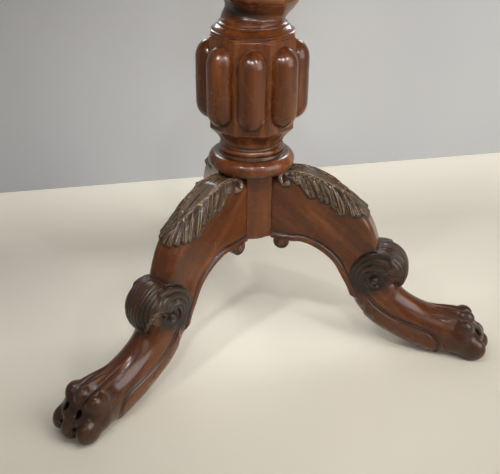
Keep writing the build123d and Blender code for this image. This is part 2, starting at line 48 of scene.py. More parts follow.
def placed(name, mesh, smooth_angle=35.0):
    """A mesh as an object of the scene, smooth but for its sharp edges."""
    mesh.shade_smooth()
    mesh.set_sharp_from_angle(angle=radians(smooth_angle))
    made = bpy.data.objects.new(name, mesh)
    scene.collection.objects.link(made)
    return made


def piece(name, vertices, faces, smooth_angle=35.0):
    """An object of the scene from vertices in millimetres."""
    mesh = bpy.data.meshes.new(name)
    points = (np.asarray(vertices, float) * MM).tolist()
    mesh.from_pydata(points, [], [list(map(int, face)) for face in faces])
    mesh.validate()
    return placed(name, mesh, smooth_angle)


def turning(profile, segments=144):
    """Vertices and faces turned from (radius, height) rows that start and end on the axis."""
    vertices, rows = [], []
    turns = np.arange(segments) * 2 * pi / segments
    for radius, height in profile:
        start = len(vertices)
        round_row = [(radius * cos(t), radius * sin(t), height) for t in turns]
        vertices += round_row if radius else [(0, 0, height)]
        rows.append(range(start, len(vertices)))
    faces = []
    for low, high in zip(rows, rows[1:]):
        for n in range(segments):
            after = (n + 1) % segments
            corners = (low[n % len(low)], low[after % len(low)],
                       high[after % len(high)], high[n % len(high)])
            loop = list(dict.fromkeys(corners))
            if len(loop) > 2:
                faces.append(loop)
    return np.array(vertices, float), faces


def curve(start, middle, end, count=14):
    """Points on the round through three (radius, height) places, by the circle through them."""
    (ax, ay), (bx, by), (cx, cy) = start, middle, end
    d = 2 * (ax * (by - cy) + bx * (cy - ay) + cx * (ay - by))
    a2, b2, c2 = ax * ax + ay * ay, bx * bx + by * by, cx * cx + cy * cy
    ox = (a2 * (by - cy) + b2 * (cy - ay) + c2 * (ay - by)) / d
    oy = (a2 * (cx - bx) + b2 * (ax - cx) + c2 * (bx - ax)) / d
    first, mid, last = (np.arctan2(y - oy, x - ox) for x, y in (start, middle, end))
    mid_turn = (mid - first) % (2 * pi)
    full_turn = (last - first) % (2 * pi)
    if mid_turn > full_turn:
        full_turn -= 2 * pi
    size = np.hypot(ax - ox, ay - oy)
    turns = first + full_turn * np.linspace(0, 1, count)
    return [(ox + size * np.cos(t), oy + size * np.sin(t)) for t in turns]


def joined(*shapes):
    """Several (vertices, faces) shapes as one."""
    vertices, faces = [], []
    for some, loops in shapes:
        start = sum(map(len, vertices))
        vertices.append(np.asarray(some, float))
        faces += [[i + start for i in loop] for loop in loops]
    return np.concatenate(vertices), faces


def shade(mesh, name, values):
    """Stores one number for each vertex, for the material to read."""
    store = mesh.attributes.new(name, "FLOAT", "POINT")
    store.data.foreach_set("value", np.asarray(values, np.float32))


def shade_creases(made, creases, depth):
    """Paints shade into a turning's creases, which are (height, half width, share) rows."""
    heights = np.array([v.co.z for v in made.data.vertices]) / MM
    dark = sum(share * np.exp(-((heights - at) / half) ** 2) for at, half, share in creases)
    shade(made.data, "hollow", np.clip(dark * depth, 0, depth))


def linear(red, green, blue):
    """A colour given as the eye sees it, 0 to 255, as the shader's linear one."""
    seen = [part / 255 for part in (red, green, blue)]
    return (*[c / 12.92 if c <= 0.04045 else ((c + 0.055) / 1.055) ** 2.4 for c in seen], 1.0)


class Wiring:
    """A node tree that is written one node after another."""

    def add(self, kind, settings=(), **inputs):
        node = self.tree.nodes.new(kind)
        for key, value in dict(settings).items():
            setattr(node, key, value)
        for key, value in inputs.items():
            self.feed(node, key, value)
        return node

    def feed(self, node, key, value):
        """Links or sets an input, called by its name with underscores, or by i and its number."""
        numbered = key[0] == "i" and key[1:].isdigit()
        socket = node.inputs[int(key[1:]) if numbered else key.replace("_", " ")]
        if isinstance(value, bpy.types.NodeSocket):
            self.tree.links.new(value, socket)
        else:
            socket.default_value = value

    def math(self, how, *values):
        inputs = {f"i{n}": value for n, value in enumerate(values)}
        return self.add("ShaderNodeMath", {"operation": how}, **inputs).outputs[0]


class Finish(Wiring):
    """A material."""

    def __init__(self, name):
        self.material = bpy.data.materials.new(name)
        self.material.use_nodes = True
        self.tree = self.material.node_tree
        self.shader = self.tree.nodes["Principled BSDF"]

    def read(self, name, output="Fac"):
        return self.add("ShaderNodeAttribute", {"attribute_name": name}).outputs[output]

    def on_piece(self):
        return self.add("ShaderNodeTexCoord").outputs["Object"]

    def noise(self, where, output="Fac", **inputs):
        return self.add("ShaderNodeTexNoise", Vector=where, **inputs).outputs[output]

    def ramp(self, value, *stops):
        node = self.add("ShaderNodeValToRGB", Fac=value)
        marks = node.color_ramp.elements
        while len(marks) < len(stops):
            marks.new(0.5)
        for mark, (place, colour) in zip(marks, stops):
            mark.position = place
            mark.color = colour
        return node.outputs["Color"]

    def mix(self, share, first, second, how="MIX"):
        settings = {"data_type": "RGBA", "blend_type": how}
        return self.add("ShaderNodeMix", settings, i0=share, i6=first, i7=second).outputs[2]

    def span(self, value, low, high, first=0.0, last=1.0):
        node = self.add("ShaderNodeMapRange", i0=value, i1=low, i2=high, i3=first, i4=last)
        return node.outputs[0]

    def vector(self, how, *values):
        inputs = {f"i{n}": value for n, value in enumerate(values)}
        return self.add("ShaderNodeVectorMath", {"operation": how}, **inputs).outputs

    def surface(self, **inputs):
        for key, value in inputs.items():
            self.feed(self.shader, key, value)


def mahogany(name, deep, warm, light, hollow, grain=(1.0, 1.0, 0.12), place=None, gloss=0.2,
             patina=None, coat=0.24, figure=0.5, veined=False):
    """French-polished mahogany: streaks along the grain, cloudy figure, fine pores, painted shade in cuts
    and painted highlights on proud places.
    """
    made = Finish(name)
    where = made.read(place, "Vector") if place else made.on_piece()
    along = made.add("ShaderNodeMapping", Vector=where, Scale=grain).outputs[0]
    bend = made.noise(along, "Color", Scale=9.0, Detail=2.0)
    sway = made.vector("MULTIPLY_ADD", bend, (0.03, 0.03, 0.03), along)[0]
    streak = made.noise(sway, Scale=85.0, Detail=6.0, Roughness=0.62)
    cloud = made.noise(sway, Scale=14.0, Detail=3.0)
    tone = made.ramp(streak, (0.3, deep), (0.52, warm), (0.72, light))
    tone = made.mix(figure, tone, made.ramp(cloud, (0.33, deep), (0.55, warm), (0.7, light)))
    pore = made.span(made.noise(along, Scale=620.0, Detail=2.0), 0.33, 0.42, 0.72, 1.0)
    pore_tone = made.add("ShaderNodeCombineXYZ", X=pore, Y=pore, Z=pore).outputs[0]
    tone = made.mix(1.0, tone, pore_tone, "MULTIPLY")
    if patina:
        tone = made.mix(made.read("carved"), tone, patina)
    # The hollow mark is painted light: above zero it paints shade into cuts and creases, below zero it
    # paints a highlight on proud places.
    cut = made.read("hollow")
    tone = made.mix(made.span(cut, -0.25, -0.9, 0.0, 0.35), tone, light)
    tone = made.mix(made.span(cut, 0.02, 0.55), tone, hollow)
    handled = made.noise(where, Scale=26.0, Detail=4.0)
    rough = made.math("ADD", made.span(handled, 0.35, 0.7, gloss, gloss + 0.13),
                      made.span(cut, 0.05, 0.6, 0.0, 0.14))
    ripple = made.noise(where, Scale=55.0, Detail=3.0)
    relief = made.math("MULTIPLY_ADD", streak, 0.35, ripple)
    normal = made.add("ShaderNodeBump", Height=relief, Strength=0.12, Distance=0.0012).outputs[0]
    if veined:
        vein_pitch, vein_depth = 1.75, 0.35 * MM
        wave = made.math("COSINE", made.math("MULTIPLY", made.read("vein"), 2 * pi / vein_pitch))
        raised = made.math("MULTIPLY", wave, made.read("leaf"))
        normal = made.add("ShaderNodeBump", Height=raised, Strength=0.8, Distance=vein_depth,
                          Normal=normal).outputs[0]
        # Painted shade in the grooves between the leaf's veins and a painted highlight on their ridges.
        tone = made.mix(made.span(raised, -0.1, -1.0, 0.0, 0.85), tone, hollow)
        ridge_highlight = linear(172, 142, 106)
        tone = made.mix(made.span(raised, 0.4, 0.95, 0.0, 0.5), tone, ridge_highlight)
    made.surface(Base_Color=tone, Roughness=rough, Normal=normal, Coat_Weight=coat,
                 Coat_Roughness=0.08, Specular_IOR_Level=0.34)
    return made.material


# The near-black brown that the woods show as painted shade in their creases and recesses.
painted_shade_tone = linear(24, 12, 7)
pillar_wood = mahogany("pillar_mahogany", linear(52, 24, 10), linear(94, 49, 20),
                       linear(142, 82, 34), painted_shade_tone)

leg_turns = {"leg_rear": 90.0, "leg_left": 210.0, "leg_right": 330.0}
seat, seat_half = 33.3, 21.65
foot_floor, foot_top, foot_bevel = 171.0, 276.0, 0.6
torus_ring, torus_tube, torus_height = 48.5, 11.8, 281.6
torus_floor = torus_height - torus_tube
base_profile = [(0, torus_floor), (30, torus_floor)]
base_profile += [(torus_ring + torus_tube * cos(radians(t)), torus_height + torus_tube * sin(radians(t)))
                 for t in np.linspace(-90, 90, 25)]
base_profile += [(47.0, 293.8), (46.6, 294.4), (46.6, 296.9), (46.2, 297.5), (44.2, 297.7)]
base_profile += curve((44.0, 297.9), (45.2, 301.6), (42.6, 305.2))
base_profile += curve((42.0, 305.5), (40.9, 307.0), (41.3, 309.0), 8)
base_profile += [(41.8, 309.2), (41.8, 311.0), (19.0, 311.0), (19.0, 371.0), (0, 371.0)]
hexagon = []
for turn in map(radians, leg_turns.values()):
    for half in (-seat_half, seat_half):
        hexagon.append((seat * cos(turn) - half * sin(turn), seat * sin(turn) + half * cos(turn)))
corners = []
for height, inset in ((foot_floor, 0.985), (foot_floor + foot_bevel, 1.0), (foot_top, 1.0)):
    corners += [(x * inset, y * inset, height) for x, y in hexagon]
walls = [list(range(5, -1, -1)), list(range(12, 18))]
for row in (0, 6):
    for n in range(6):
        after = (n + 1) % 6
        walls.append([row + n, row + after, row + 6 + after, row + 6 + n])
base = piece("pillar_base_turned", *joined(turning(base_profile), (np.array(corners), walls)))
# Painted shade in the base's creases, and where the torus meets the leg seats.
base_creases = [(293.8, 0.9, 1.0), (297.6, 0.7, 1.0), (305.4, 0.7, 1.0), (309.1, 0.5, 1.0),
                (270.5, 2.2, 0.7)]
shade_creases(base, base_creases, 0.5)
base.data.materials.append(pillar_wood)
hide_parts("pillar_base")
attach(base, "base")


# ---------------------------------------------------------------- the octagonal knop and its bosses
# An eight-sided block of the same mahogany, planed flat on its sides, with an undercut foot and a
# thin turned band on top. A half-round boss with round ends is glued on each of its faces.
knop_turn = -19.4
knop_apothem = 56.0
face_to_corner = 1 / cos(pi / 8)
knop_profile = [(0, 311.0), (41.6, 311.0), (42.2, 314.0), (43.9, 318.5), (47.4, 323.6), (51.6, 328.4),
                (55.4, 332.2), (knop_apothem, 333.4), (knop_apothem, 455.0), (55.4, 455.7),
                (54.4, 456.0), (54.4, 459.0), (0, 459.0)]
vertices, faces = turning([(r * face_to_corner, h) for r, h in knop_profile], 8)
spin = radians(knop_turn - 90) + pi / 8
spun = np.array([[cos(spin), sin(spin), 0], [-sin(spin), cos(spin), 0], [0, 0, 1]])
knop = piece("knop_block", vertices @ spun, faces, 22.0)
eased = knop.modifiers.new("eased corners", "BEVEL")
eased.width = 0.7 * MM
eased.segments = 2
eased.angle_limit = radians(25)
knop.data.materials.append(pillar_wood)
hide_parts("pillar_knop")
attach(knop, "base")


class Tree(Wiring):
    """A geometry tree with named inputs."""

    def __init__(self, name, **inputs):
        self.tree = bpy.data.node_groups.new(name, "GeometryNodeTree")
        face = self.tree.interface
        face.new_socket("Geometry", in_out="INPUT", socket_type="NodeSocketGeometry")
        self.named = {}
        for key, value in inputs.items():
            kind = {int: "NodeSocketInt", tuple: "NodeSocketVector"}.get(type(value), "NodeSocketFloat")
            socket = face.new_socket(key.replace("_", " "), in_out="INPUT", socket_type=kind)
            socket.default_value = value
            self.named[key] = socket
        face.new_socket("Geometry", in_out="OUTPUT", socket_type="NodeSocketGeometry")
        self.start = self.tree.nodes.new("NodeGroupInput")
        self.end = self.tree.nodes.new("NodeGroupOutput")

    def get(self, key):
        return self.start.outputs[key.replace("_", " ")]

    def vector(self, x=0.0, y=0.0, z=0.0):
        return self.add("ShaderNodeCombineXYZ", X=x, Y=y, Z=z).outputs[0]

    def position(self):
        spot = self.add("GeometryNodeInputPosition").outputs[0]
        return self.add("ShaderNodeSeparateXYZ", Vector=spot).outputs

    def moved(self, shape, x, y, z):
        """A shape with each of its points put at a new place."""
        place = self.vector(x, y, z)
        return self.add("GeometryNodeSetPosition", Geometry=shape, Position=place).outputs[0]

    def finish(self, shape, material):
        """Realizes the shape and gives it its material."""
        real = self.add("GeometryNodeRealizeInstances", Geometry=shape).outputs[0]
        coated = self.add("GeometryNodeSetMaterial", Geometry=real, Material=material).outputs[0]
        self.tree.links.new(coated, self.end.inputs[0])

    def grow(self, name, points=((0, 0, 0),), **values):
        """The tree's result on a mesh of bare points, in metres, as a new plain mesh."""
        mesh = bpy.data.meshes.new(name + "_points")
        mesh.from_pydata([tuple(p) for p in points], [], [])
        carrier = bpy.data.objects.new(name + "_carrier", mesh)
        scene.collection.objects.link(carrier)
        work = carrier.modifiers.new("growth", "NODES")
        work.node_group = self.tree
        for key, value in values.items():
            work[self.named[key].identifier] = value
        carrier.update_tag()
        graph = bpy.context.evaluated_depsgraph_get()
        grown = bpy.data.meshes.new_from_object(
            carrier.evaluated_get(graph), preserve_all_data_layers=True, depsgraph=graph)
        carrier.modifiers.remove(work)
        bpy.data.objects.remove(carrier)
        bpy.data.meshes.remove(mesh)
        grown.name = name
        return grown


boss_wood = mahogany("boss_mahogany", linear(46, 21, 9), linear(84, 43, 17), linear(126, 72, 30),
                     painted_shade_tone)
boss = Tree("half_round_bosses", Count=8, First_turn=radians(knop_turn - 90),
            Apothem=knop_apothem * MM, Radius=19.7 * MM, Middle=394.0 * MM, Straight=58.8 * MM,
            End_stretch=1.25, Glue_depth=0.3 * MM)
ball = boss.add("GeometryNodeMeshUVSphere", Segments=64, Rings=48, Radius=boss.get("Radius")).outputs[0]
x, y, z = boss.position()
out = boss.math("MAXIMUM", x, boss.math("MULTIPLY", boss.get("Glue_depth"), -1.0))
which_end = boss.math("DIVIDE", z, 0.4 * MM)
which_end = boss.math("MAXIMUM", boss.math("MINIMUM", which_end, 1.0), -1.0)
half_straight = boss.math("MULTIPLY", boss.get("Straight"), 0.5)
up = boss.math("MULTIPLY_ADD", which_end, half_straight, boss.math("MULTIPLY", z, boss.get("End_stretch")))
one_boss = boss.moved(ball, boss.math("ADD", out, boss.get("Apothem")), y,
                      boss.math("ADD", up, boss.get("Middle")))
ring = boss.add("GeometryNodeMeshLine", Count=boss.get("Count"), Offset=(0, 0, 0)).outputs[0]
order = boss.add("GeometryNodeInputIndex").outputs[0]
turn = boss.math("MULTIPLY_ADD", order, boss.math("DIVIDE", 2 * pi, boss.get("Count")),
                 boss.get("First_turn"))
around = boss.add("GeometryNodeInstanceOnPoints", Points=ring, Instance=one_boss,
                  Rotation=boss.vector(z=turn)).outputs[0]
boss.finish(around, boss_wood)
bosses = placed("knop_bosses", boss.grow("knop_bosses"), 40.0)
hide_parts(*[f"knop_boss_{n + 1}" for n in range(8)])
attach(bosses, "base")


# ---------------------------------------------------------------- the spiral baluster
# The upper pillar is turned with a collar, cut by hand with one deep spiral that swells and then
# runs thin, and ends in a ring, a throat and a cap under the hinge block.
spiral_bottom, spiral_top = 476.0, 612.0
spiral_radius, spiral_throw = 48.6, 10.7
radius_rows = [(0.0, 0.868), (0.044, 0.892), (0.088, 0.922), (0.132, 0.96), (0.176, 1.005), (0.22, 1.02),
               (0.32, 1.005), (0.43, 0.967), (0.54, 0.885), (0.65, 0.782), (0.76, 0.68), (0.87, 0.586),
               (0.95, 0.531), (1.0, 0.514)]
throw_rows = [(0.0, 0.15), (0.044, 0.75), (0.088, 1.0), (0.132, 1.1), (0.176, 1.13), (0.22, 1.1),
              (0.32, 1.02), (0.43, 0.96), (0.54, 0.88), (0.65, 0.78), (0.76, 0.67), (0.87, 0.51),
              (0.95, 0.23), (1.0, 0.0)]


def drawn_curve(tree, value, places):
    """A curve node through the given places, as the turner's template."""
    node = tree.add("ShaderNodeFloatCurve", Value=value)
    line = node.mapping.curves[0]
    while len(line.points) < len(places):
        line.points.new(0.5, 0.5)
    for point, place in zip(line.points, places):
        point.location = place
    node.mapping.update()
    return node.outputs[0]


def from_rows(at, rows, **ends):
    """Values read off a table of (place, value) rows."""
    places, values = zip(*rows)
    return np.interp(at, places, values, **ends)


spiral = Tree("spiral_baluster", Radius=spiral_radius * MM, Throw=spiral_throw * MM,
              Bottom=spiral_bottom * MM, Top=spiral_top * MM, Pitch=-48.0 * MM,
              Crest_turn=radians(-19.4), Crest_height=500.0 * MM, Lead=radians(-96.0),
              Lead_share=0.176)
blank = spiral.add("GeometryNodeMeshCylinder", Vertices=144, Side_Segments=170, Fill_Segments=1,
                   Radius=1.0, Depth=1.0).outputs[0]
x, y, z = spiral.position()
share = spiral.math("ADD", z, 0.5)
height = spiral.add("ShaderNodeMapRange", Value=share, From_Min=0.0, From_Max=1.0,
                    To_Min=spiral.get("Bottom"), To_Max=spiral.get("Top")).outputs[0]
radius = spiral.math("MULTIPLY", drawn_curve(spiral, share, radius_rows), spiral.get("Radius"))
throw = spiral.math("MULTIPLY", drawn_curve(spiral, share, throw_rows), spiral.get("Throw"))
risen = spiral.math("SUBTRACT", height, spiral.get("Crest_height"))
turns = spiral.math("DIVIDE", risen, spiral.get("Pitch"))
turn = spiral.math("MULTIPLY_ADD", turns, 2 * pi, spiral.get("Crest_turn"))
lead = spiral.math("SUBTRACT", 1.0, spiral.math("DIVIDE", share, spiral.get("Lead_share")))
turn = spiral.math("MULTIPLY_ADD", spiral.math("MAXIMUM", lead, 0.0), spiral.get("Lead"), turn)
thrown = [spiral.math("MULTIPLY", throw, spiral.math(way, turn)) for way in ("COSINE", "SINE")]
x = spiral.math("MULTIPLY_ADD", x, radius, thrown[0])
y = spiral.math("MULTIPLY_ADD", y, radius, thrown[1])
spiral.finish(spiral.moved(blank, x, y, height), pillar_wood)
wound = spiral.grow("spiral_baluster")
# Painted shade in the spiral's groove and a painted highlight on its swell, by how far the surface lies in
# or out from the mean turning.
spots = np.array([v.co for v in wound.vertices]) / MM
share = (spots[:, 2] - spiral_bottom) / (spiral_top - spiral_bottom)
mean = from_rows(share, radius_rows) * spiral_radius
depth = (mean - np.hypot(spots[:, 0], spots[:, 1])) / spiral_throw
shade(wound, "hollow", np.clip(depth * 0.75 - 0.1, -0.5, 0.7))
baluster = placed("spiral_baluster", wound, 50.0)
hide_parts("pillar_stem")
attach(baluster, "base")

collar_profile = [(0, 401.0), (17.0, 401.0), (17.0, 459.0), (54.6, 459.0), (55.4, 459.6),
                  (55.4, 461.4), (54.6, 462.1), (53.4, 462.3)]
collar_profile += curve((53.2, 462.6), (50.2, 465.9), (46.2, 468.4), 12)
collar_profile += curve((45.8, 468.5), (45.7, 470.7), (43.4, 472.0), 10)
collar_profile += [(42.8, 472.3), (42.2, 473.2), (42.0, 474.2), (42.0, 476.4), (0, 476.4)]
cap_profile = [(0, 611.6), (25.8, 612.0)] + curve((25.8, 612.0), (31.0, 616.0), (25.8, 620.0))
cap_profile += curve((25.4, 620.6), (21.0, 638.85), (38.6, 656.6), 26)
cap_profile += [(39.4, 657.2), (40.0, 657.9), (40.0, 671.1), (39.4, 671.7), (17.0, 671.7),
                (17.0, 704.2), (0, 704.2)]
stem = piece("stem_turnings", *joined(turning(collar_profile), turning(cap_profile)))
# Painted shade in the creases of the collar and the cap.
stem_creases = [(459.2, 0.5, 1.0), (462.4, 0.5, 1.0), (468.4, 0.4, 1.0), (473.4, 0.8, 1.0),
                (612.0, 1.0, 1.0), (620.3, 1.0, 1.0)]
shade_creases(stem, stem_creases, 0.4)
stem.data.materials.append(pillar_wood)
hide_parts("pillar_stem")
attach(stem, "base")


# ---------------------------------------------------------------- the three carved legs
# Each leg is one mahogany plank, keyed into the pillar: a bead under its arch ends in a volute, an
# acanthus leaf lies on top, the knee is reeded over a scroll, and the foot is a paw with three toes.
# It is carved here as one field of distances, so that all the cuts run into each other.
plank = 43.4
plank_half = plank / 2
leg_reach, leg_rise = 325.2, 277.0
inner_end = 24.0
cell = 1.28
top_shares = [
    (0, .940), (.033, .960), (.082, .971), (.131, .970), (.187, .953), (.245, .923), (.288, .892),
    (.328, .857), (.368, .818), (.396, .786), (.417, .751), (.436, .712), (.451, .672), (.470, .606),
    (.482, .540)]
under_shares = [
    (0, .610), (.09, .600), (.131, .603), (.18, .587), (.233, .552), (.279, .504), (.325, .422),
    (.357, .359), (.378, .292)]
# Below the knee each row has the middle of the shank, its half height above and below, and its
# half width, as shares of the plank.
shank_shares = [
    (.4265, .448, .60, .74, .54), (.470, .339, .80, .80, .58), (.525, .253, .76, .76, .59),
    (.605, .193, .72, .73, .60), (.691, .153, .71, .76, .62), (.771, .139, .69, .87, .64),
    (.829, .137, .64, .76, .68), (.885, .125, .48, .60, .68), (.930, .105, .34, .42, .58)]


def in_millimetres(rows):
    """Places beside the leg, from shares of its reach and rise, then widths from shares of the plank."""
    rows = np.array(rows)
    rows *= [leg_reach, leg_rise] + [plank] * (rows.shape[1] - 2)
    rows[:, 0] += seat
    return rows


def run_lengths(line):
    """How far along a line each of its points is."""
    return np.r_[0, np.cumsum(np.hypot(*np.diff(line[:, :2], axis=0).T))]


def eased_line(places, count):
    """A smooth run through the places, evenly spaced."""
    places = np.asarray(places, float)
    padded = np.vstack([2 * places[0] - places[1], places, 2 * places[-1] - places[-2]])
    run = []
    for a, b, c, d in zip(padded, padded[1:], padded[2:], padded[3:]):
        t = np.linspace(0, 1, 24, endpoint=False)[:, None]
        run.append(0.5 * (2 * b + (c - a) * t + (2 * a - 5 * b + 4 * c - d) * t ** 2
                          + (3 * b - a - 3 * c + d) * t ** 3))
    run = np.vstack(run + [places[-1:]])
    length = run_lengths(run)
    at = np.linspace(0, length[-1], count)
    return np.stack([np.interp(at, length, column) for column in run.T], 1)


def from_line(px, py, line):
    """Distance to a line, how far along it the nearest place is, and the side (+1 on its left)."""
    near = np.full(px.shape, 1e9, np.float32)
    along = np.zeros(px.shape, np.float32)
    side = np.ones(px.shape, np.float32)
    length = 0.0
    for (ax, ay), (bx, by) in zip(line, line[1:]):
        dx, dy = bx - ax, by - ay
        size = np.hypot(dx, dy)
        t = np.clip(((px - ax) * dx + (py - ay) * dy) / size ** 2, 0, 1)
        gap = np.hypot(px - ax - t * dx, py - ay - t * dy)
        better = gap < near
        near = np.where(better, gap, near)
        along = np.where(better, length + t * size, along)
        side = np.where(better, np.sign(dx * (py - ay) - dy * (px - ax)), side)
        length += size
    return near, along, side


def inside_outline(px, py, outline):
    """Which of the places lie within a closed outline."""
    hit = np.zeros(px.shape, bool)
    for (ax, ay), (bx, by) in zip(outline, np.roll(outline, -1, 0)):
        if ay != by:
            hit ^= ((ay > py) != (by > py)) & (px < (bx - ax) * (py - ay) / (by - ay) + ax)
    return hit


def blended(first, second, width):
    """The union of two fields with a hollow rounding of the given width where they meet."""
    share = np.clip(0.5 + 0.5 * (second - first) / width, 0, 1)
    return second * (1 - share) + first * share - width * share * (1 - share)


def rounded(first, second, radius):
    """The overlap of two fields, with the edge where they meet rounded over."""
    a, b = first + radius, second + radius
    return np.minimum(np.maximum(a, b), 0) + np.hypot(np.maximum(a, 0), np.maximum(b, 0)) - radius


def hump(value, centre, half):
    """A rounded ridge, 1 at its centre and 0 beyond its half width."""
    return np.sqrt(np.clip(1 - ((value - centre) / half) ** 2, 0, 1))


def notch(value, centre, half):
    """A soft furrow, 1 at its centre and fading out beyond its half width."""
    return np.exp(-((value - centre) / half) ** 2)


def step(value, low, high):
    """A smooth change from 0 at the first place to 1 at the second."""
    t = np.clip((value - low) / (high - low), 0, 1)
    return t * t * (3 - 2 * t)


def oval(w, centre, half):
    """A field for an egg shape at w across the plank, near enough to a distance for carving."""
    scaled = [((at - c) / h) ** 2 for at, c, h in zip((U, w, Z), centre, half)]
    return (np.sqrt(scaled[0] + scaled[1] + scaled[2]) - 1) * min(half)


def through(sheet):
    """A drawing of the leg's side, the same all through the plank."""
    return sheet[:, None, :]


def round_about(middle):
    """Distance from a middle in the side view, and the turn round it in degrees."""
    du, dz = U - middle[0], Z - middle[1]
    return np.hypot(du, dz), np.degrees(np.arctan2(dz, du))


def paint_shade(amount):
    """Paints shade into the cuts and recesses, where it isn't as dark yet."""
    np.maximum(hollow, amount, out=hollow)


# The places of the field: U out from the pillar, V across the plank, Z up, all in millimetres.
u_line = np.arange(8.0, 363.0, cell, dtype=np.float32)
v_line = np.arange(-39.1, 39.2, cell, dtype=np.float32)
z_line = np.arange(-1.5, 275.0, cell, dtype=np.float32)
U, V, Z = np.meshgrid(u_line, v_line, z_line, indexing="ij")
side_v = np.abs(V)
# hollow holds the legs' painted shade; carved holds the patina of the carving.
hollow = np.zeros(U.shape, np.float32)
carved = np.zeros(U.shape, np.float32)

# The side of the leg, as it is sawn.
sheet_u, sheet_z = np.meshgrid(u_line, z_line, indexing="ij")
knee_root = (161.0, 86.0)
top_line = eased_line(in_millimetres(top_shares), 90)
under_line = eased_line(in_millimetres(under_shares), 60)
outline = np.vstack([(inner_end, under_line[0, 1]), under_line[:-3], knee_root, top_line[::-1],
                     (inner_end, top_line[0, 1])])
outline_gap, _, _ = from_line(sheet_u, sheet_z, np.vstack([outline, outline[:1]]))
upper_side = through(np.where(inside_outline(sheet_u, sheet_z, outline), -outline_gap, outline_gap))
top_gap, top_run, top_way = from_line(sheet_u, sheet_z, top_line)
below_top = through(-top_gap * top_way)
under_gap = through(from_line(sheet_u, sheet_z, under_line)[0])

# The upper leg: flat sides, its top rounded over, its under edge with a bead and a groove.
top_rounding, sharp_edge = 11.0, 1.2
groove_at = 9.6
edge_round = sharp_edge + step(below_top, 26.0, 10.0) * (top_rounding - sharp_edge)
bead = 2.4 * hump(under_gap, 3.6, 5.2) * step(upper_side, 3.0, 0.0)
bead = bead - 1.1 * notch(under_gap, groove_at, 1.3) + 0.9 * hump(under_gap, 12.6, 2.2)
field = rounded(upper_side, side_v - plank_half - bead, edge_round)

# The lower leg: a rounded section that runs down from the knee, squarer below, with a double line
# cut along each side from the scroll to the heel, and a proud band under it.
spine = eased_line(in_millimetres(shank_shares), 70)
spine_gap, spine_run, spine_way = from_line(sheet_u, sheet_z, spine[:, :2])
above_spine = spine_gap * spine_way
half_above, half_below, half_wide = (np.interp(spine_run, run_lengths(spine), spine[:, n])
                                     for n in (2, 3, 4))
half_high = np.where(above_spine > 0, half_above, half_below)
power = through(2.0 + 1.3 * step(-above_spine, 0.0, 12.0))
section = np.abs(through(above_spine / half_high)) ** power
section = section + np.abs(side_v / through(half_wide)) ** power
shank = (section ** (1 / power) - 1) * through(np.minimum(half_high, half_wide))
side_places = [(177, 99), (182, 89), (194, 76), (220, 59), (249, 49.6), (270, 42.4), (283, 31.5),
               (288.5, 20), (287, 8)]
line_gap, line_run, line_way = from_line(sheet_u, sheet_z, eased_line(side_places, 60))
off_line = line_gap * line_way
on_line = step(line_run, 2.0, 12.0) * (sheet_u > 174)
side_cut = (notch(off_line, 0, 1.05) + 0.85 * notch(off_line, -4.3, 0.95)) * on_line
side_cut = through(side_cut) * step(side_v, 12.0, 17.0)
band = step(-off_line, 4.0, 5.4) * on_line * (line_gap < 60) * (off_line < 0) * (sheet_u < 290)
shank = shank + 1.7 * side_cut - 1.1 * through(band) * step(side_v, 8.0, 15.0)
# Painted shade in the cut side lines.
paint_shade(side_cut * 0.8)
field = blended(field, shank, 5.0 + 7.0 * through(step(spine_run, 60.0, 20.0)))

# The volute where the bead ends under the arch: a ball with a ring and a button on each side.
volute_r, _ = round_about((48.6, 164.0))
volute_side = 20.3
roll = np.hypot(np.maximum(volute_r - 8.0, 0), np.maximum(side_v - volute_side, 0)) - 3.6
roll = np.where(side_v > volute_side, roll, volute_r - 11.4)
ring_cut = notch(volute_r, 7.6, 1.1) * step(side_v, 18.0, 21.0)
field = blended(field, roll + 1.6 * ring_cut, 1.2)
field = np.minimum(field, np.hypot(volute_r, (side_v - 22.6) * 1.3) - 4.4)
# Painted shade in the volute's ring and in the groove under the bead.
paint_shade(ring_cut * 0.8)
paint_shade(0.8 * notch(under_gap, groove_at, 1.5) * step(side_v, 18.0, 21.0) * (U < 165))

# The knee: a reeded hood rolled over the shank. Its lip runs from the middle back to an eye on each
# side, and its outer reed winds round the eye as a scroll.
knee_r, knee_turn = round_about((195.9, 129.1))
hood_rows = [(-60, 37.0), (-50, 38.6), (-34, 38.0), (-20, 37.2), (0, 36.6), (30, 36.2), (60, 35.8),
             (90, 35.6), (120, 35.2), (150, 34.0)]
drop_rows = [(0, 0), (9, 0.3), (15, 1.6), (20, 4.0), (25, 8.0), (28, 11.5), (31, 17.0)]
lip_rows = [(0, -50), (8, -47), (14, -37), (19, -22), (24, 2), (28, 26), (31, 45)]
reed_pitch = 5.3
reed = np.abs(np.sin(pi * V / reed_pitch))
lip = from_rows(side_v, lip_rows) - 5.0 * reed
open_below = np.where(knee_turn < -115, 1.0, step(knee_turn, lip - 4.0, lip + 3.0))
core_r, core_half, roll_half = 24.0, 19.0, 30.6
hood_r = from_rows(knee_turn, hood_rows, right=33.5, left=34.0) - from_rows(side_v, drop_rows)
barrel = rounded(knee_r - (core_r + (hood_r - core_r) * open_below),
                 side_v - (core_half + (roll_half - core_half) * open_below), 4)
between_reeds = np.clip(0.5 - reed, 0, 1) / 0.5
on_hood = open_below * step(knee_turn, 178.0, 150.0) * (knee_turn > -60)
barrel += 2.3 * between_reeds * on_hood * step(side_v, 30.0, 27.0)

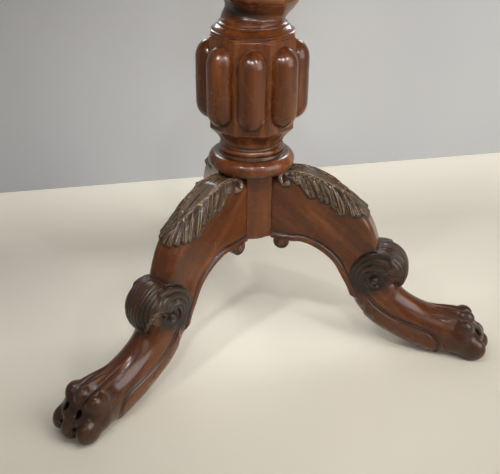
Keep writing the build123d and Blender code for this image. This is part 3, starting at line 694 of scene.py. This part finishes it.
eye_r, eye_turn = round_about((185.4, 116.4))
eye_turn %= 360
scroll_rows = [(0, 13), (24, 14), (38, 26), (48, 40), (65, 48), (105, 44), (140, 38.5), (176, 34),
               (225, 29), (262, 25), (295, 15), (330, 13), (360, 13)]
proud_rows = [(0, 20.0), (30, 25.0), (60, 27.0), (150, 27.0), (200, 24.5), (262, 22.5), (285, 20.0),
              (360, 20.0)]
scroll_r = from_rows(eye_turn, scroll_rows)
scroll = rounded(eye_r - scroll_r, side_v - from_rows(eye_turn, proud_rows), 3.5)
innermost = 18.5
rings = np.zeros(U.shape, np.float32)
for share in (0.0, 0.36, 0.7):
    rings = np.maximum(rings, notch(eye_r, innermost + (scroll_r - innermost) * share, 1.25))
rings = rings * step(side_v, 18.0, 22.0) * step(eye_turn, 40.0, 58.0) * step(eye_turn, 262.0, 235.0)
field = blended(field, scroll + 1.9 * rings, 1.5)
field = blended(field, barrel + 1.5 * rings, 1.5)
cup = np.maximum(eye_r - 14.0, 22.3 - side_v)
eyeball = np.hypot(eye_r, (side_v - 21.0) * 0.9) - 6.4
inner_ring = np.hypot(eye_r - 11.2, side_v - 21.8) - 2.7
inner_ring = np.where((eye_turn > 300) | (eye_turn < 20), 5.0, inner_ring)
field = np.minimum(np.maximum(field, -cup), np.minimum(eyeball, inner_ring))

# Painted shade on the knee: between the reeds and in the scroll's rings, a painted shadow under the lip, in
# the rings round the eye, along the scroll's edge, over the lower front and round the shank's root.
under_lip = radians(1.0) * (lip - 9.0)
shadow_r = 34.0
knee_u, knee_z = knee_r * np.cos(radians(1.0) * knee_turn), knee_r * np.sin(radians(1.0) * knee_turn)
lip_shadow = np.hypot(knee_u - shadow_r * np.cos(under_lip), knee_z - shadow_r * np.sin(under_lip)) - 2.2
on_side = step(side_v, 17.0, 20.0)
on_knee = np.maximum(step(knee_r, 43.0, 38.0) * open_below,
                     step(eye_r - scroll_r, 2.5, 0.0) * step(side_v, 16.0, 20.0))
paint_shade(np.maximum(between_reeds * on_hood, rings) * on_knee * 0.95)
paint_shade(0.6 * step(np.maximum(lip_shadow, side_v - 21.0), 3.0, 0.3))
paint_shade(0.8 * notch(eye_r, 14.8, 1.3) * on_side)
paint_shade(0.8 * notch(eye_r, 7.8, 0.9) * on_side)
paint_shade(0.75 * notch(eye_r - scroll_r, 0.8, 1.3) * step(side_v, 16.0, 19.0)
       * (eye_turn > 90) * (eye_turn < 262))
paint_shade(on_knee * (0.1 + 0.25 * step(knee_turn, 25.0, -15.0)))
paint_shade(0.45 * step(eye_r, 34.0, 12.0) * ((eye_turn > 262) | (eye_turn < 50)) * step(side_v, 14.0, 19.0))
carved = np.maximum(carved, on_knee * 0.8)

# The acanthus leaf, carved on a sheet that is wrapped over the top and down both sides: how far
# along the leg, and how far from the ridge. Each lobe has its foot, its bend, its tip, its half
# width at the foot and at the tip, and its height.
leaf_lobes = [
    ((27, 15), (38, 27), (52, 36), 1.7, 2.3, 1.7), ((33, 15), (44, 28), (58, 40), 1.7, 2.5, 2.0),
    ((39, 15), (51, 28), (65, 43), 1.7, 2.8, 2.3), ((45, 15), (58, 28), (71, 41), 1.7, 2.8, 2.6),
    ((52, 15), (64, 26), (78, 36), 1.8, 2.8, 2.3), ((58, 15), (71, 27), (86, 40), 1.8, 3.1, 2.6),
    ((65, 15), (79, 26), (94, 38), 1.9, 3.4, 2.9), ((73, 15), (90, 26), (108, 37), 2.4, 4.0, 2.8),
    ((83, 13), (101, 23), (121, 35), 4.0, 7.6, 3.4), ((99, 9), (117, 20), (136, 28), 2.6, 4.3, 2.9),
    ((106, 6), (124, 15), (142, 22), 2.6, 4.3, 3.1), ((110, 3.5), (129, 9.5), (149, 14), 2.4, 4.2, 3.2),
    ((112, 0), (133, 2.5), (154, 4.6), 2.2, 4.3, 3.3), ((16, 16), (26, 22), (38, 29), 1.5, 2.2, 1.5)]
rim_line = [(23, 31), (12, 29), (8.5, 20), (15, 13.5), (32, 12.5), (60, 14), (88, 12), (106, 6.5),
            (120, 1.5)]
ground_rows = [(8, 18), (15, 12), (60, 13), (88, 11), (106, 5.5), (120, 0.5)]
sheet_step = 0.5
leaf_s, leaf_t = np.meshgrid(np.arange(0, 220, sheet_step), np.arange(0, 70, sheet_step), indexing="ij")
leaf_high = np.zeros(leaf_s.shape)
leaf_near = np.full(leaf_s.shape, 50.0)
leaf_vein = np.zeros(leaf_s.shape)
share = np.linspace(0, 1, 20)[:, None]
for foot, bend, tip, thin, wide, high in leaf_lobes:
    stroke = (1 - share) ** 2 * foot + 2 * share * (1 - share) * np.array(bend) + share ** 2 * np.array(tip)
    gap, run, way = from_line(leaf_s, leaf_t, stroke)
    grown = np.clip(run / run_lengths(stroke)[-1], 0, 1)
    half = thin + (wide - thin) * grown ** 1.6
    rise = (0.45 + 0.55 * grown ** 2) * high * hump(gap, 0, half) ** 0.8
    rise += 0.7 * notch(gap, 0, 0.45 * half) * step(grown, 0.86, 1.0)
    leaf_vein = np.where(rise > leaf_high, gap * way * 3.4 / wide, leaf_vein)
    leaf_high = np.maximum(leaf_high, rise)
    leaf_near = np.minimum(leaf_near, gap - half)
rim_gap, rim_run, _ = from_line(leaf_s, leaf_t, rim_line)
ground = (leaf_t < from_rows(leaf_s, ground_rows)) & (leaf_s < 118) & (leaf_s > 10)
ribs = 0.4 * np.sin(leaf_t * 2 * pi / 4.4)
leaf_high = np.where(ground, -0.5 + ribs, leaf_high)
leaf_high = np.maximum(leaf_high, (2.8 + 0.9 * step(rim_run, 50, 10)) * hump(rim_gap, 0, 2.4))
leaf_vein = np.where(rim_gap < 2.4, rim_gap * 0.3, np.where(ground, leaf_t, leaf_vein))
# Painted shade between the lobes and across the ribbed ground of the leaf.
leaf_shade = np.where(ground, 0.1 - 0.25 * ribs,
                     np.clip(0.9 - leaf_high, 0, 1) * step(leaf_near, 2.6, 0.4))
leaf_mask = np.maximum(step(leaf_near, 1.6, 0.0), np.maximum(ground, step(rim_gap, 3.6, 2.4)))

flat_half = plank_half - top_rounding
past_flat = side_v - flat_half
bent = np.arctan2(np.maximum(past_flat, 0), np.maximum(top_rounding - below_top, 1e-3))
over_edge = np.where(past_flat <= 0, side_v, flat_half + top_rounding * bent)
down_side = flat_half + top_rounding * pi / 2 + below_top - top_rounding
from_ridge = np.where(below_top > top_rounding, down_side, over_edge)
on_sheet = (np.clip(through(top_run) / sheet_step, 0, leaf_s.shape[0] - 1).astype(np.int32),
            np.clip(from_ridge / sheet_step, 0, leaf_s.shape[1] - 1).astype(np.int32))
near_skin = step(np.abs(field), 9.0, 5.0) * (U < 182)
field = field - leaf_high[on_sheet].astype(np.float32) * near_skin
leaf_here = leaf_mask[on_sheet] * near_skin
vein_here = leaf_vein[on_sheet]
# The leaf's painted shade, laid on the leg's skin.
paint_shade(leaf_shade[on_sheet] * near_skin)
carved = np.maximum(carved, leaf_here)
curl_r = np.hypot(round_about((54.0, 256.0))[0], (side_v - 21.5) * 1.4)
field = np.minimum(field, np.maximum(curl_r - 4.6, side_v - 25.0))
# Painted shade in the ring round the leaf's curl.
paint_shade(0.8 * step(np.abs(curl_r - 6.6), 1.2, 0.3) * on_side)

# The paw: three toes with swollen knuckles and tips, cords on top, and a pad under the heel. The
# middle toe stands a little forward and higher.
toe_gap, knuckle_gap = 23.5, 20.8
for row, ahead, raised in ((-1, 0.0, 0.0), (0, 4.5, 3.5), (1, 0.0, 0.0)):
    toe_v = V - row * toe_gap
    tip = oval(toe_v, (335.0 + ahead, 0, 18.2), (19.0, 11.6, 18.4))
    link = oval(toe_v, (315.5 + ahead, 0, 30.0), (15.0, 11.6, 18.0))
    knuckle = oval(V - row * knuckle_gap, (319.0 + ahead * 0.6, 0, 51.0 + raised), (13.0, 9.9, 12.6))
    cord = oval(V - row * (14.0 + 0.16 * (U - 290)), (288.0 + ahead, 0, 54.5 + raised), (31.0, 5.4, 11.5))
    field = blended(field, cord, 3.5)
    field = blended(field, blended(blended(tip, link, 3.0), knuckle, 2.0), 1.8)
    # Painted shade in the crease between each tip and its knuckle.
    paint_shade(0.4 * step(np.abs(tip - knuckle), 4.0, 0.5) * step(np.minimum(tip, knuckle), -2.0, 1.0)
           * (U > 326) * step(side_v, 34.0, 27.0))
field = blended(field, oval(side_v, (308.0, 17.0, 33.0), (28.0, 15.0, 25.0)), 6.0)
field = blended(field, oval(side_v, (317.0, 25.0, 27.0), (17.0, 8.0, 16.0)), 4.0)
for at, height, half in ((337.0, 40.5, (9.0, 3.8, 5.5)), (353.0, 15.0, (9.0, 1.6, 17.0))):
    slot = oval(side_v, (at, toe_gap / 2, height), half)
    field = np.maximum(field, -slot)
    # Painted shade in the slot between the toes.
    paint_shade(0.85 * step(slot, 1.4, 0.0))
groove_rows = [(250, 5.0), (275, 8.0), (300, toe_gap / 2 - 0.6), (335, toe_gap / 2 - 0.4)]
off_groove = side_v - from_rows(u_line, groove_rows)[:, None, None]
between_toes = notch(off_groove, 0, 1.5) * step(U, 256, 280) * (Z > 40) * step(U, 318.0, 306.0)
on_back = (Z > 46) * step(U, 306, 292)
outer_line = notch(off_groove, 9.0, 1.3) * step(U, 262, 284) * on_back
inner_line = notch(off_groove, -5.2, 1.0) * step(U, 268, 284) * on_back
field = field + 1.3 * between_toes + 0.8 * outer_line + 0.6 * inner_line
# Painted shade between the toes and in the cut lines, and over the whole paw.
paint_shade(0.5 * between_toes)
paint_shade(0.45 * outer_line + 0.3 * inner_line)
paint_shade(0.26 * step(U, 285, 325))
carved = np.maximum(carved, step(U, 285, 325) * 0.3)
field = np.maximum(field, 15.0 - np.hypot(U - 307.0, Z + 9.5))
field = np.maximum(field, 0.15 - Z)

# The flat end that lies against the pillar, and the dovetail key that holds the leg in it.
key_length, key_half, key_spread = 15.0, 6.5, 0.2
key_floor, key_top = 171.5, 262.0
field = np.maximum(field, seat + 0.2 - U)
key = np.maximum.reduce([seat - key_length - U, U - seat - 1.0, key_floor - Z, Z - key_top,
                         side_v - key_half - key_spread * (seat - U)])
field = np.minimum(field, key)


def skin(values, *marks):
    """The skin where a field is zero, as vertices and four-sided faces, with marks sampled on it."""
    within = values < 0
    cells = tuple(n - 1 for n in values.shape)
    total = np.zeros(cells + (3,), np.float32)
    count = np.zeros(cells, np.int16)
    corners = [(i, j, k) for i in (0, 1) for j in (0, 1) for k in (0, 1)]

    def at_corner(array, corner):
        return array[tuple(slice(c, c + n) for c, n in zip(corner, cells))]

    for start in corners:
        for axis in range(3):
            if start[axis]:
                continue
            end = tuple(1 if n == axis else start[n] for n in range(3))
            a, b = at_corner(values, start), at_corner(values, end)
            crossed = at_corner(within, start) != at_corner(within, end)
            share = np.where(crossed, a / np.where(crossed, a - b, 1), 0)
            for n in range(3):
                total[..., n] += np.where(crossed, start[n] + (share if n == axis else 0), 0)
            count += crossed
    active = count > 0
    number = np.full(cells, -1, np.int64)
    number[active] = np.arange(active.sum())
    spots = np.argwhere(active) + total[active] / count[active][:, None]
    found = [sum(at_corner(mark, c)[active].astype(np.float32) for c in corners) / 8 for mark in marks]
    faces = []
    for axis in range(3):
        one, two = [n for n in range(3) if n != axis]
        low = [slice(1, -1)] * 3
        low[axis] = slice(0, -1)
        high = list(low)
        high[axis] = slice(1, None)
        change = within[tuple(low)].astype(np.int8) - within[tuple(high)].astype(np.int8)
        for way in (1, -1):
            at = np.argwhere(change == way)
            at[:, [one, two]] += 1
            loop = []
            for back_one, back_two in ((1, 1), (0, 1), (0, 0), (1, 0)):
                cell_at = at.copy()
                cell_at[:, one] -= back_one
                cell_at[:, two] -= back_two
                loop.append(number[tuple(cell_at.T)])
            quad = np.stack(loop, 1)
            turned_back = (way == 1) == (axis == 1)
            faces.append(quad[:, ::-1] if turned_back else quad)
    return spots, np.concatenate(faces), found


spots, faces, marks = skin(field.astype(np.float32), hollow, carved, leaf_here, vein_here)
spots = spots * cell + [u_line[0], v_line[0], z_line[0]]
del U, V, Z, field, hollow, carved, leaf_here, vein_here
leg_wood = mahogany("leg_mahogany", linear(50, 24, 11), linear(88, 46, 20), linear(132, 78, 36),
                    painted_shade_tone, grain=(0.12, 1.0, 1.0), place="leg_place",
                    patina=linear(66, 47, 32), veined=True)


def turned_about(spots, turn, across, after):
    """Spots turned in the plane of two of their axes."""
    turned = spots.copy()
    turned[:, across] = spots[:, across] * cos(turn) - spots[:, after] * sin(turn)
    turned[:, after] = spots[:, across] * sin(turn) + spots[:, after] * cos(turn)
    return turned


grain_lean = radians(40)
in_plank = turned_about(spots, grain_lean, 0, 2) * MM
for node, turn in leg_turns.items():
    leg = piece("carved_" + node, turned_about(spots, radians(turn), 0, 1), faces, 80.0)
    for name, values in zip(("hollow", "carved", "leaf", "vein"), marks):
        shade(leg.data, name, values)
    store = leg.data.attributes.new("leg_place", "FLOAT_VECTOR", "POINT")
    store.data.foreach_set("vector", (in_plank + radians(turn)).astype(np.float32).ravel())
    leg.data.materials.append(leg_wood)
    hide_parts(node)
    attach(leg, "base")


# ---------------------------------------------------------------- the iron plate under the pillar
# A flat disc of blackened iron ties the three leg keys to the pillar's foot. Six slotted steel
# screws with countersunk heads hold it.
def metal(name, bright, dull, rough, worn=0.25, bump=0.25):
    """Handled metal: cloudy tarnish, small scratches and worn bright places."""
    made = Finish(name)
    where = made.on_piece()
    cloud = made.noise(where, Scale=70.0, Detail=5.0, Roughness=0.6)
    stretched = made.add("ShaderNodeMapping", Vector=where, Scale=(1.0, 9.0, 1.0)).outputs[0]
    scratch = made.noise(stretched, Scale=220.0, Detail=3.0)
    tarnish = made.add("ShaderNodeBump", Height=cloud, Strength=bump, Distance=0.4 * MM).outputs[0]
    made.surface(Base_Color=made.ramp(cloud, (0.5 - worn, dull), (0.5 + worn, bright)),
                 Roughness=made.span(scratch, 0.3, 0.7, rough, rough + 0.2),
                 Metallic=1.0, Normal=tarnish)
    return made.material


def dressed(node, material):
    """A piece of the model that keeps its own shape and gets its finish."""
    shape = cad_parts[node]
    shape.data.materials.clear()
    shape.data.materials.append(material)


iron = metal("blackened_iron", linear(92, 86, 80), linear(40, 36, 34), 0.42)
steel = metal("screw_steel", linear(176, 172, 166), linear(96, 90, 84), 0.28)
dressed("dovetail_plate", iron)

screw = Tree("slotted_screws", Head_radius=4.0 * MM, Head_depth=2.2 * MM, Length=18.0 * MM,
             Shank_radius=1.9 * MM, Point_radius=0.4 * MM, Slot_width=0.9 * MM, Slot_depth=1.0 * MM,
             Facing=(0.0, 0.0, 0.0), Seed=3)
head_r, head_d, length, shank_r = map(screw.get, ("Head_radius", "Head_depth", "Length", "Shank_radius"))


def lowered(shape, drop):
    """A part of the screw, let down by a distance."""
    place = screw.vector(z=screw.math("MULTIPLY", drop, -1.0))
    return screw.add("GeometryNodeTransform", Geometry=shape, Translation=place).outputs[0]


# A countersunk wood screw has its head's face at the origin, its point down, and a sawn slot.
head = screw.add("GeometryNodeMeshCone", Vertices=32, Fill_Segments=1, Radius_Top=head_r,
                 Radius_Bottom=shank_r, Depth=head_d).outputs[0]
body = screw.add("GeometryNodeMeshCone", Vertices=32, Fill_Segments=1, Radius_Top=shank_r,
                 Radius_Bottom=screw.get("Point_radius"), Depth=length).outputs[0]
slot_size = screw.vector(screw.math("MULTIPLY", head_r, 3.0), screw.get("Slot_width"),
                         screw.math("MULTIPLY", screw.get("Slot_depth"), 2.0))
saw = screw.add("GeometryNodeMeshCube", Size=slot_size).outputs[0]
slotted = screw.add("GeometryNodeMeshBoolean", {"operation": "DIFFERENCE"},
                    i0=lowered(head, head_d), i1=saw).outputs[0]
whole = screw.add("GeometryNodeJoinGeometry")
screw.feed(whole, "Geometry", slotted)
screw.feed(whole, "Geometry", lowered(body, screw.math("MULTIPLY_ADD", head_d, 0.9, length)))
index = screw.add("GeometryNodeInputIndex").outputs[0]
chance = screw.add("FunctionNodeRandomValue", {"data_type": "FLOAT"}, i2=0.0, i3=2 * pi, ID=index,
                   Seed=screw.get("Seed")).outputs[1]
set_screws = screw.add("GeometryNodeInstanceOnPoints", Points=screw.start.outputs[0],
                       Instance=whole.outputs[0], Rotation=screw.get("Facing")).outputs[0]
set_screws = screw.add("GeometryNodeRotateInstances", Instances=set_screws,
                       Rotation=screw.vector(z=chance), Local_Space=True).outputs[0]
screw.finish(set_screws, steel)


def screws(node, body, facing, points, head, depth, length, shank, material=None, slot="steel"):
    """The screws of one node, seated at their points in millimetres, their heads facing one way."""
    name = node + "_slotted"
    mesh = screw.grow(name, np.array(points) * MM, Facing=facing, Head_radius=head * MM,
                      Head_depth=depth * MM, Length=length * MM, Shank_radius=shank * MM)
    if material:
        mesh.materials[0] = material
    made = placed(name, mesh, 30.0)
    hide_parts(node)
    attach(made, body)


facing_down = (pi, 0.0, 0.0)
plate_ring, plate_face = 25.0, 168.0
plate_points = [(plate_ring * cos(radians(t)), plate_ring * sin(radians(t)), plate_face)
                for t in range(30, 390, 60)]
screws("dovetail_plate_screws", "base", facing_down, plate_points, 3.9, 1.9, 19.0, 2.0)


# ---------------------------------------------------------------- the hinge block and its pivots
# A plain mahogany block sits on the pillar's spigot, wedged from above. Two round beech pivots are
# glued in its sides near the front edge, which is rounded so that the top can swing up.
block_wood = mahogany("block_mahogany", linear(58, 30, 17), linear(92, 52, 29), linear(120, 74, 43),
                      painted_shade_tone, grain=(0.12, 1.0, 1.0), gloss=0.42, coat=0.0, figure=0.3)
# Beech's fourth colour is its painted shade tone.
beech = mahogany("oiled_beech", linear(136, 98, 62), linear(166, 126, 84), linear(188, 150, 106),
                 linear(70, 48, 30), grain=(0.12, 1.0, 1.0), gloss=0.5, coat=0.0, figure=0.25)
dressed("hinge_block", block_wood)
for node in ("pivot_left", "pivot_right", "spigot_wedge"):
    dressed(node, beech)


# ---------------------------------------------------------------- the bearers under the top
# Two long mahogany battens with tapered ends stiffen the board and swing on the pivots. Each is
# held up by four steel screws, whose heads lie deep in bored wells.
bearer_wood = mahogany("bearer_mahogany", linear(58, 30, 17), linear(94, 54, 30), linear(122, 76, 44),
                       painted_shade_tone, grain=(1.0, 0.12, 1.0), gloss=0.42, coat=0.0, figure=0.3)
bearer_x, well_floor = 99.5, 685.7
for side, x in (("left", -bearer_x), ("right", bearer_x)):
    dressed("bearer_" + side, bearer_wood)
    places = [(x, y, well_floor) for y in (-189.0, 35.0, 119.0, 196.0)]
    screws("bearer_screws_" + side, "top", facing_down, places, 4.6, 2.3, 31.0, 2.4)


# ---------------------------------------------------------------- the round top
# Three mahogany boards glued edge to edge and turned as one disc, with a thumb moulding round the
# rim over a small step, and the underside left plain.
top_wood = mahogany("top_mahogany", linear(72, 34, 17), linear(116, 62, 32), linear(152, 90, 50),
                    painted_shade_tone, grain=(0.12, 1.0, 1.0), gloss=0.3, coat=0.15, figure=0.55)
dressed("table_top", top_wood)


# ---------------------------------------------------------------- the brass catch
# A brass plate with two staples is screwed under the top, and its flat bolt slides into a keeper
# on the rear of the block. The brass is old, rubbed bright at the knob and on its edges.
brass = metal("old_brass", linear(214, 170, 98), linear(140, 98, 48), 0.2)
for node in ("bolt_plate", "slide_bolt", "bolt_keeper"):
    dressed(node, brass)
facing_back = (-pi / 2, 0.0, 0.0)
small_screw = (2.5, 1.2, 10.6, 1.3)
plate_points = [(x, y, 703.0) for x in (-8.5, 8.5) for y in (101.5, 166.5)]
keeper_points = [(x, 90.0, 700.2) for x in (-10.5, 10.5)]
screws("bolt_plate_screws", "top", facing_down, plate_points, *small_screw, brass, "brass")
screws("keeper_screws", "base", facing_back, keeper_points, *small_screw, brass, "brass")


# ---------------------------------------------------------------- the room, the light and the camera
# The table stands on a plain pale floor before a plain wall, in soft light from the front and the
# right, with weak small lamps under the board. The floor has painted light, paler towards the wall.
# The camera looks down at the knop.
camera_turn = radians(-19.37)


def facing_camera(right, ahead, up):
    """A place given from the camera's side of the table, in millimetres, as one of the model's."""
    return Vector((right * cos(camera_turn) - ahead * sin(camera_turn),
                   right * sin(camera_turn) + ahead * cos(camera_turn), up)) * MM


def paint(name, tone, far_tone, painted_light_tone=None):
    """A matt paint, a little cloudy and, given a light tone, paler and glowing by the wall as painted
    light, that can't be seen from behind.
    """
    made = Finish(name)
    where = made.on_piece()
    colour = made.ramp(made.noise(where, Scale=1.3, Detail=2.0), (0.4, tone), (0.6, far_tone))
    # Painted light: the floor grows paler towards the wall, and glows there for camera, glossy and
    # transmission rays.
    if painted_light_tone:
        wall_way = facing_camera(-224.5, 974.5, 0).normalized()
        away = made.vector("DOT_PRODUCT", where, wall_way)["Value"]
        colour = made.mix(made.span(away, -0.16, 0.02), colour, painted_light_tone)
        rays = made.add("ShaderNodeLightPath").outputs
        looked_at = rays["Is Camera Ray"]
        for kind in ("Is Glossy Ray", "Is Transmission Ray"):
            looked_at = made.math("MAXIMUM", looked_at, rays[kind])
        painted_glow = made.math("MULTIPLY", looked_at, made.span(away, 0.3, 0.55, 0.0, 0.25))
        made.surface(Emission_Color=painted_light_tone, Emission_Strength=painted_glow)
    made.surface(Base_Color=colour, Roughness=0.85, Specular_IOR_Level=0.2)
    behind = made.add("ShaderNodeNewGeometry").outputs["Backfacing"]
    clear = made.add("ShaderNodeBsdfTransparent").outputs[0]
    seen = made.add("ShaderNodeMixShader", i0=behind, i1=made.shader.outputs[0], i2=clear)
    made.feed(made.tree.nodes["Material Output"], "Surface", seen.outputs[0])
    return made.material


def sheet(name, first_edge, second_edge, material):
    """A flat sheet of the stage between two edges."""
    mesh = bpy.data.meshes.new(name)
    mesh.from_pydata([facing_camera(*end) for end in first_edge + second_edge], [], [(0, 1, 3, 2)])
    mesh.materials.append(material)
    made = bpy.data.objects.new(name, mesh)
    scene.collection.objects.link(made)


floor_z = -0.4
wall_foot = ((-2500, 20), (2500, 1172))
sheet("pale_floor", [(x, -6000, floor_z) for x in (-6000, 6000)],
      [(x, 6000, floor_z) for x in (-6000, 6000)],
      paint("pale_floor", linear(226, 220, 203), linear(230, 224, 208), linear(252, 247, 232)))
sheet("plain_wall", [(*end, floor_z) for end in wall_foot], [(*end, 3000) for end in wall_foot],
      paint("plain_wall", linear(206, 208, 213), linear(212, 214, 217)))


def soft_box(name, place, aim, size, power, tint=(1.0, 1.0, 1.0), spread=180.0):
    """A soft area light at a place, aimed at a place."""
    lamp = bpy.data.lights.new(name, "AREA")
    lamp.shape = "RECTANGLE"
    lamp.size, lamp.size_y = size
    lamp.energy = power
    lamp.color = tint
    lamp.spread = radians(spread)
    made = bpy.data.objects.new(name, lamp)
    made.location = facing_camera(*place)
    way = facing_camera(*aim) - made.location
    made.rotation_euler = way.to_track_quat("-Z", "Y").to_euler()
    made.visible_camera = False
    scene.collection.objects.link(made)


soft_box("right_window", (1500, -900, 1000), (0, 0, 300), (1.3, 1.5), 25.0, (1.0, 0.97, 0.93))
soft_box("left_window", (-1500, -1100, 900), (0, 0, 300), (1.1, 1.4), 1.0)
soft_box("front_window", (200, -1900, 1300), (0, 0, 250), (1.6, 0.9), 5.5)
for x, y in ((-190, -330), (20, -400), (210, -300)):
    soft_box(f"small_lamp_{x}", (x, y, 690), (x * 0.2, y * 0.2, 320), (0.03, 0.03), 0.36, spread=110.0)
for x, y in ((-230, 420), (260, 430)):
    soft_box(f"rear_lamp_{x}", (x, y, 650), (0, 0, 300), (0.12, 0.12), 0.18, spread=90.0)
room = bpy.data.worlds.new("pale_room")
room.use_nodes = True
glow = room.node_tree.nodes["Background"]
glow.inputs["Color"].default_value = linear(228, 226, 222)
glow.inputs["Strength"].default_value = 0.2
scene.world = room
scene.view_settings.view_transform = "Standard"

lens = bpy.data.cameras.new("camera")
lens.sensor_fit = "HORIZONTAL"
lens.sensor_width = 36.0
lens.lens = 58.586
lens.shift_x, lens.shift_y = 0.00123, -0.01223
lens.clip_start = 0.05
yaw, pitch, roll = -0.001639, 0.479345, 0.00997
ahead = Vector((sin(yaw) * cos(pitch), cos(yaw) * cos(pitch), -sin(pitch)))
right = Vector((cos(yaw), -sin(yaw), 0))
upward = right.cross(ahead)
rolled_right = cos(roll) * right + sin(roll) * upward
rolled_up = -sin(roll) * right + cos(roll) * upward
view = Matrix((rolled_right, rolled_up, -ahead)).transposed().to_4x4()
camera = bpy.data.objects.new("camera", lens)
spin = Matrix.Rotation(camera_turn, 4, "Z")
camera.matrix_world = Matrix.Translation(facing_camera(0, -1060, 715.5)) @ spin @ view
scene.collection.objects.link(camera)
scene.camera = camera
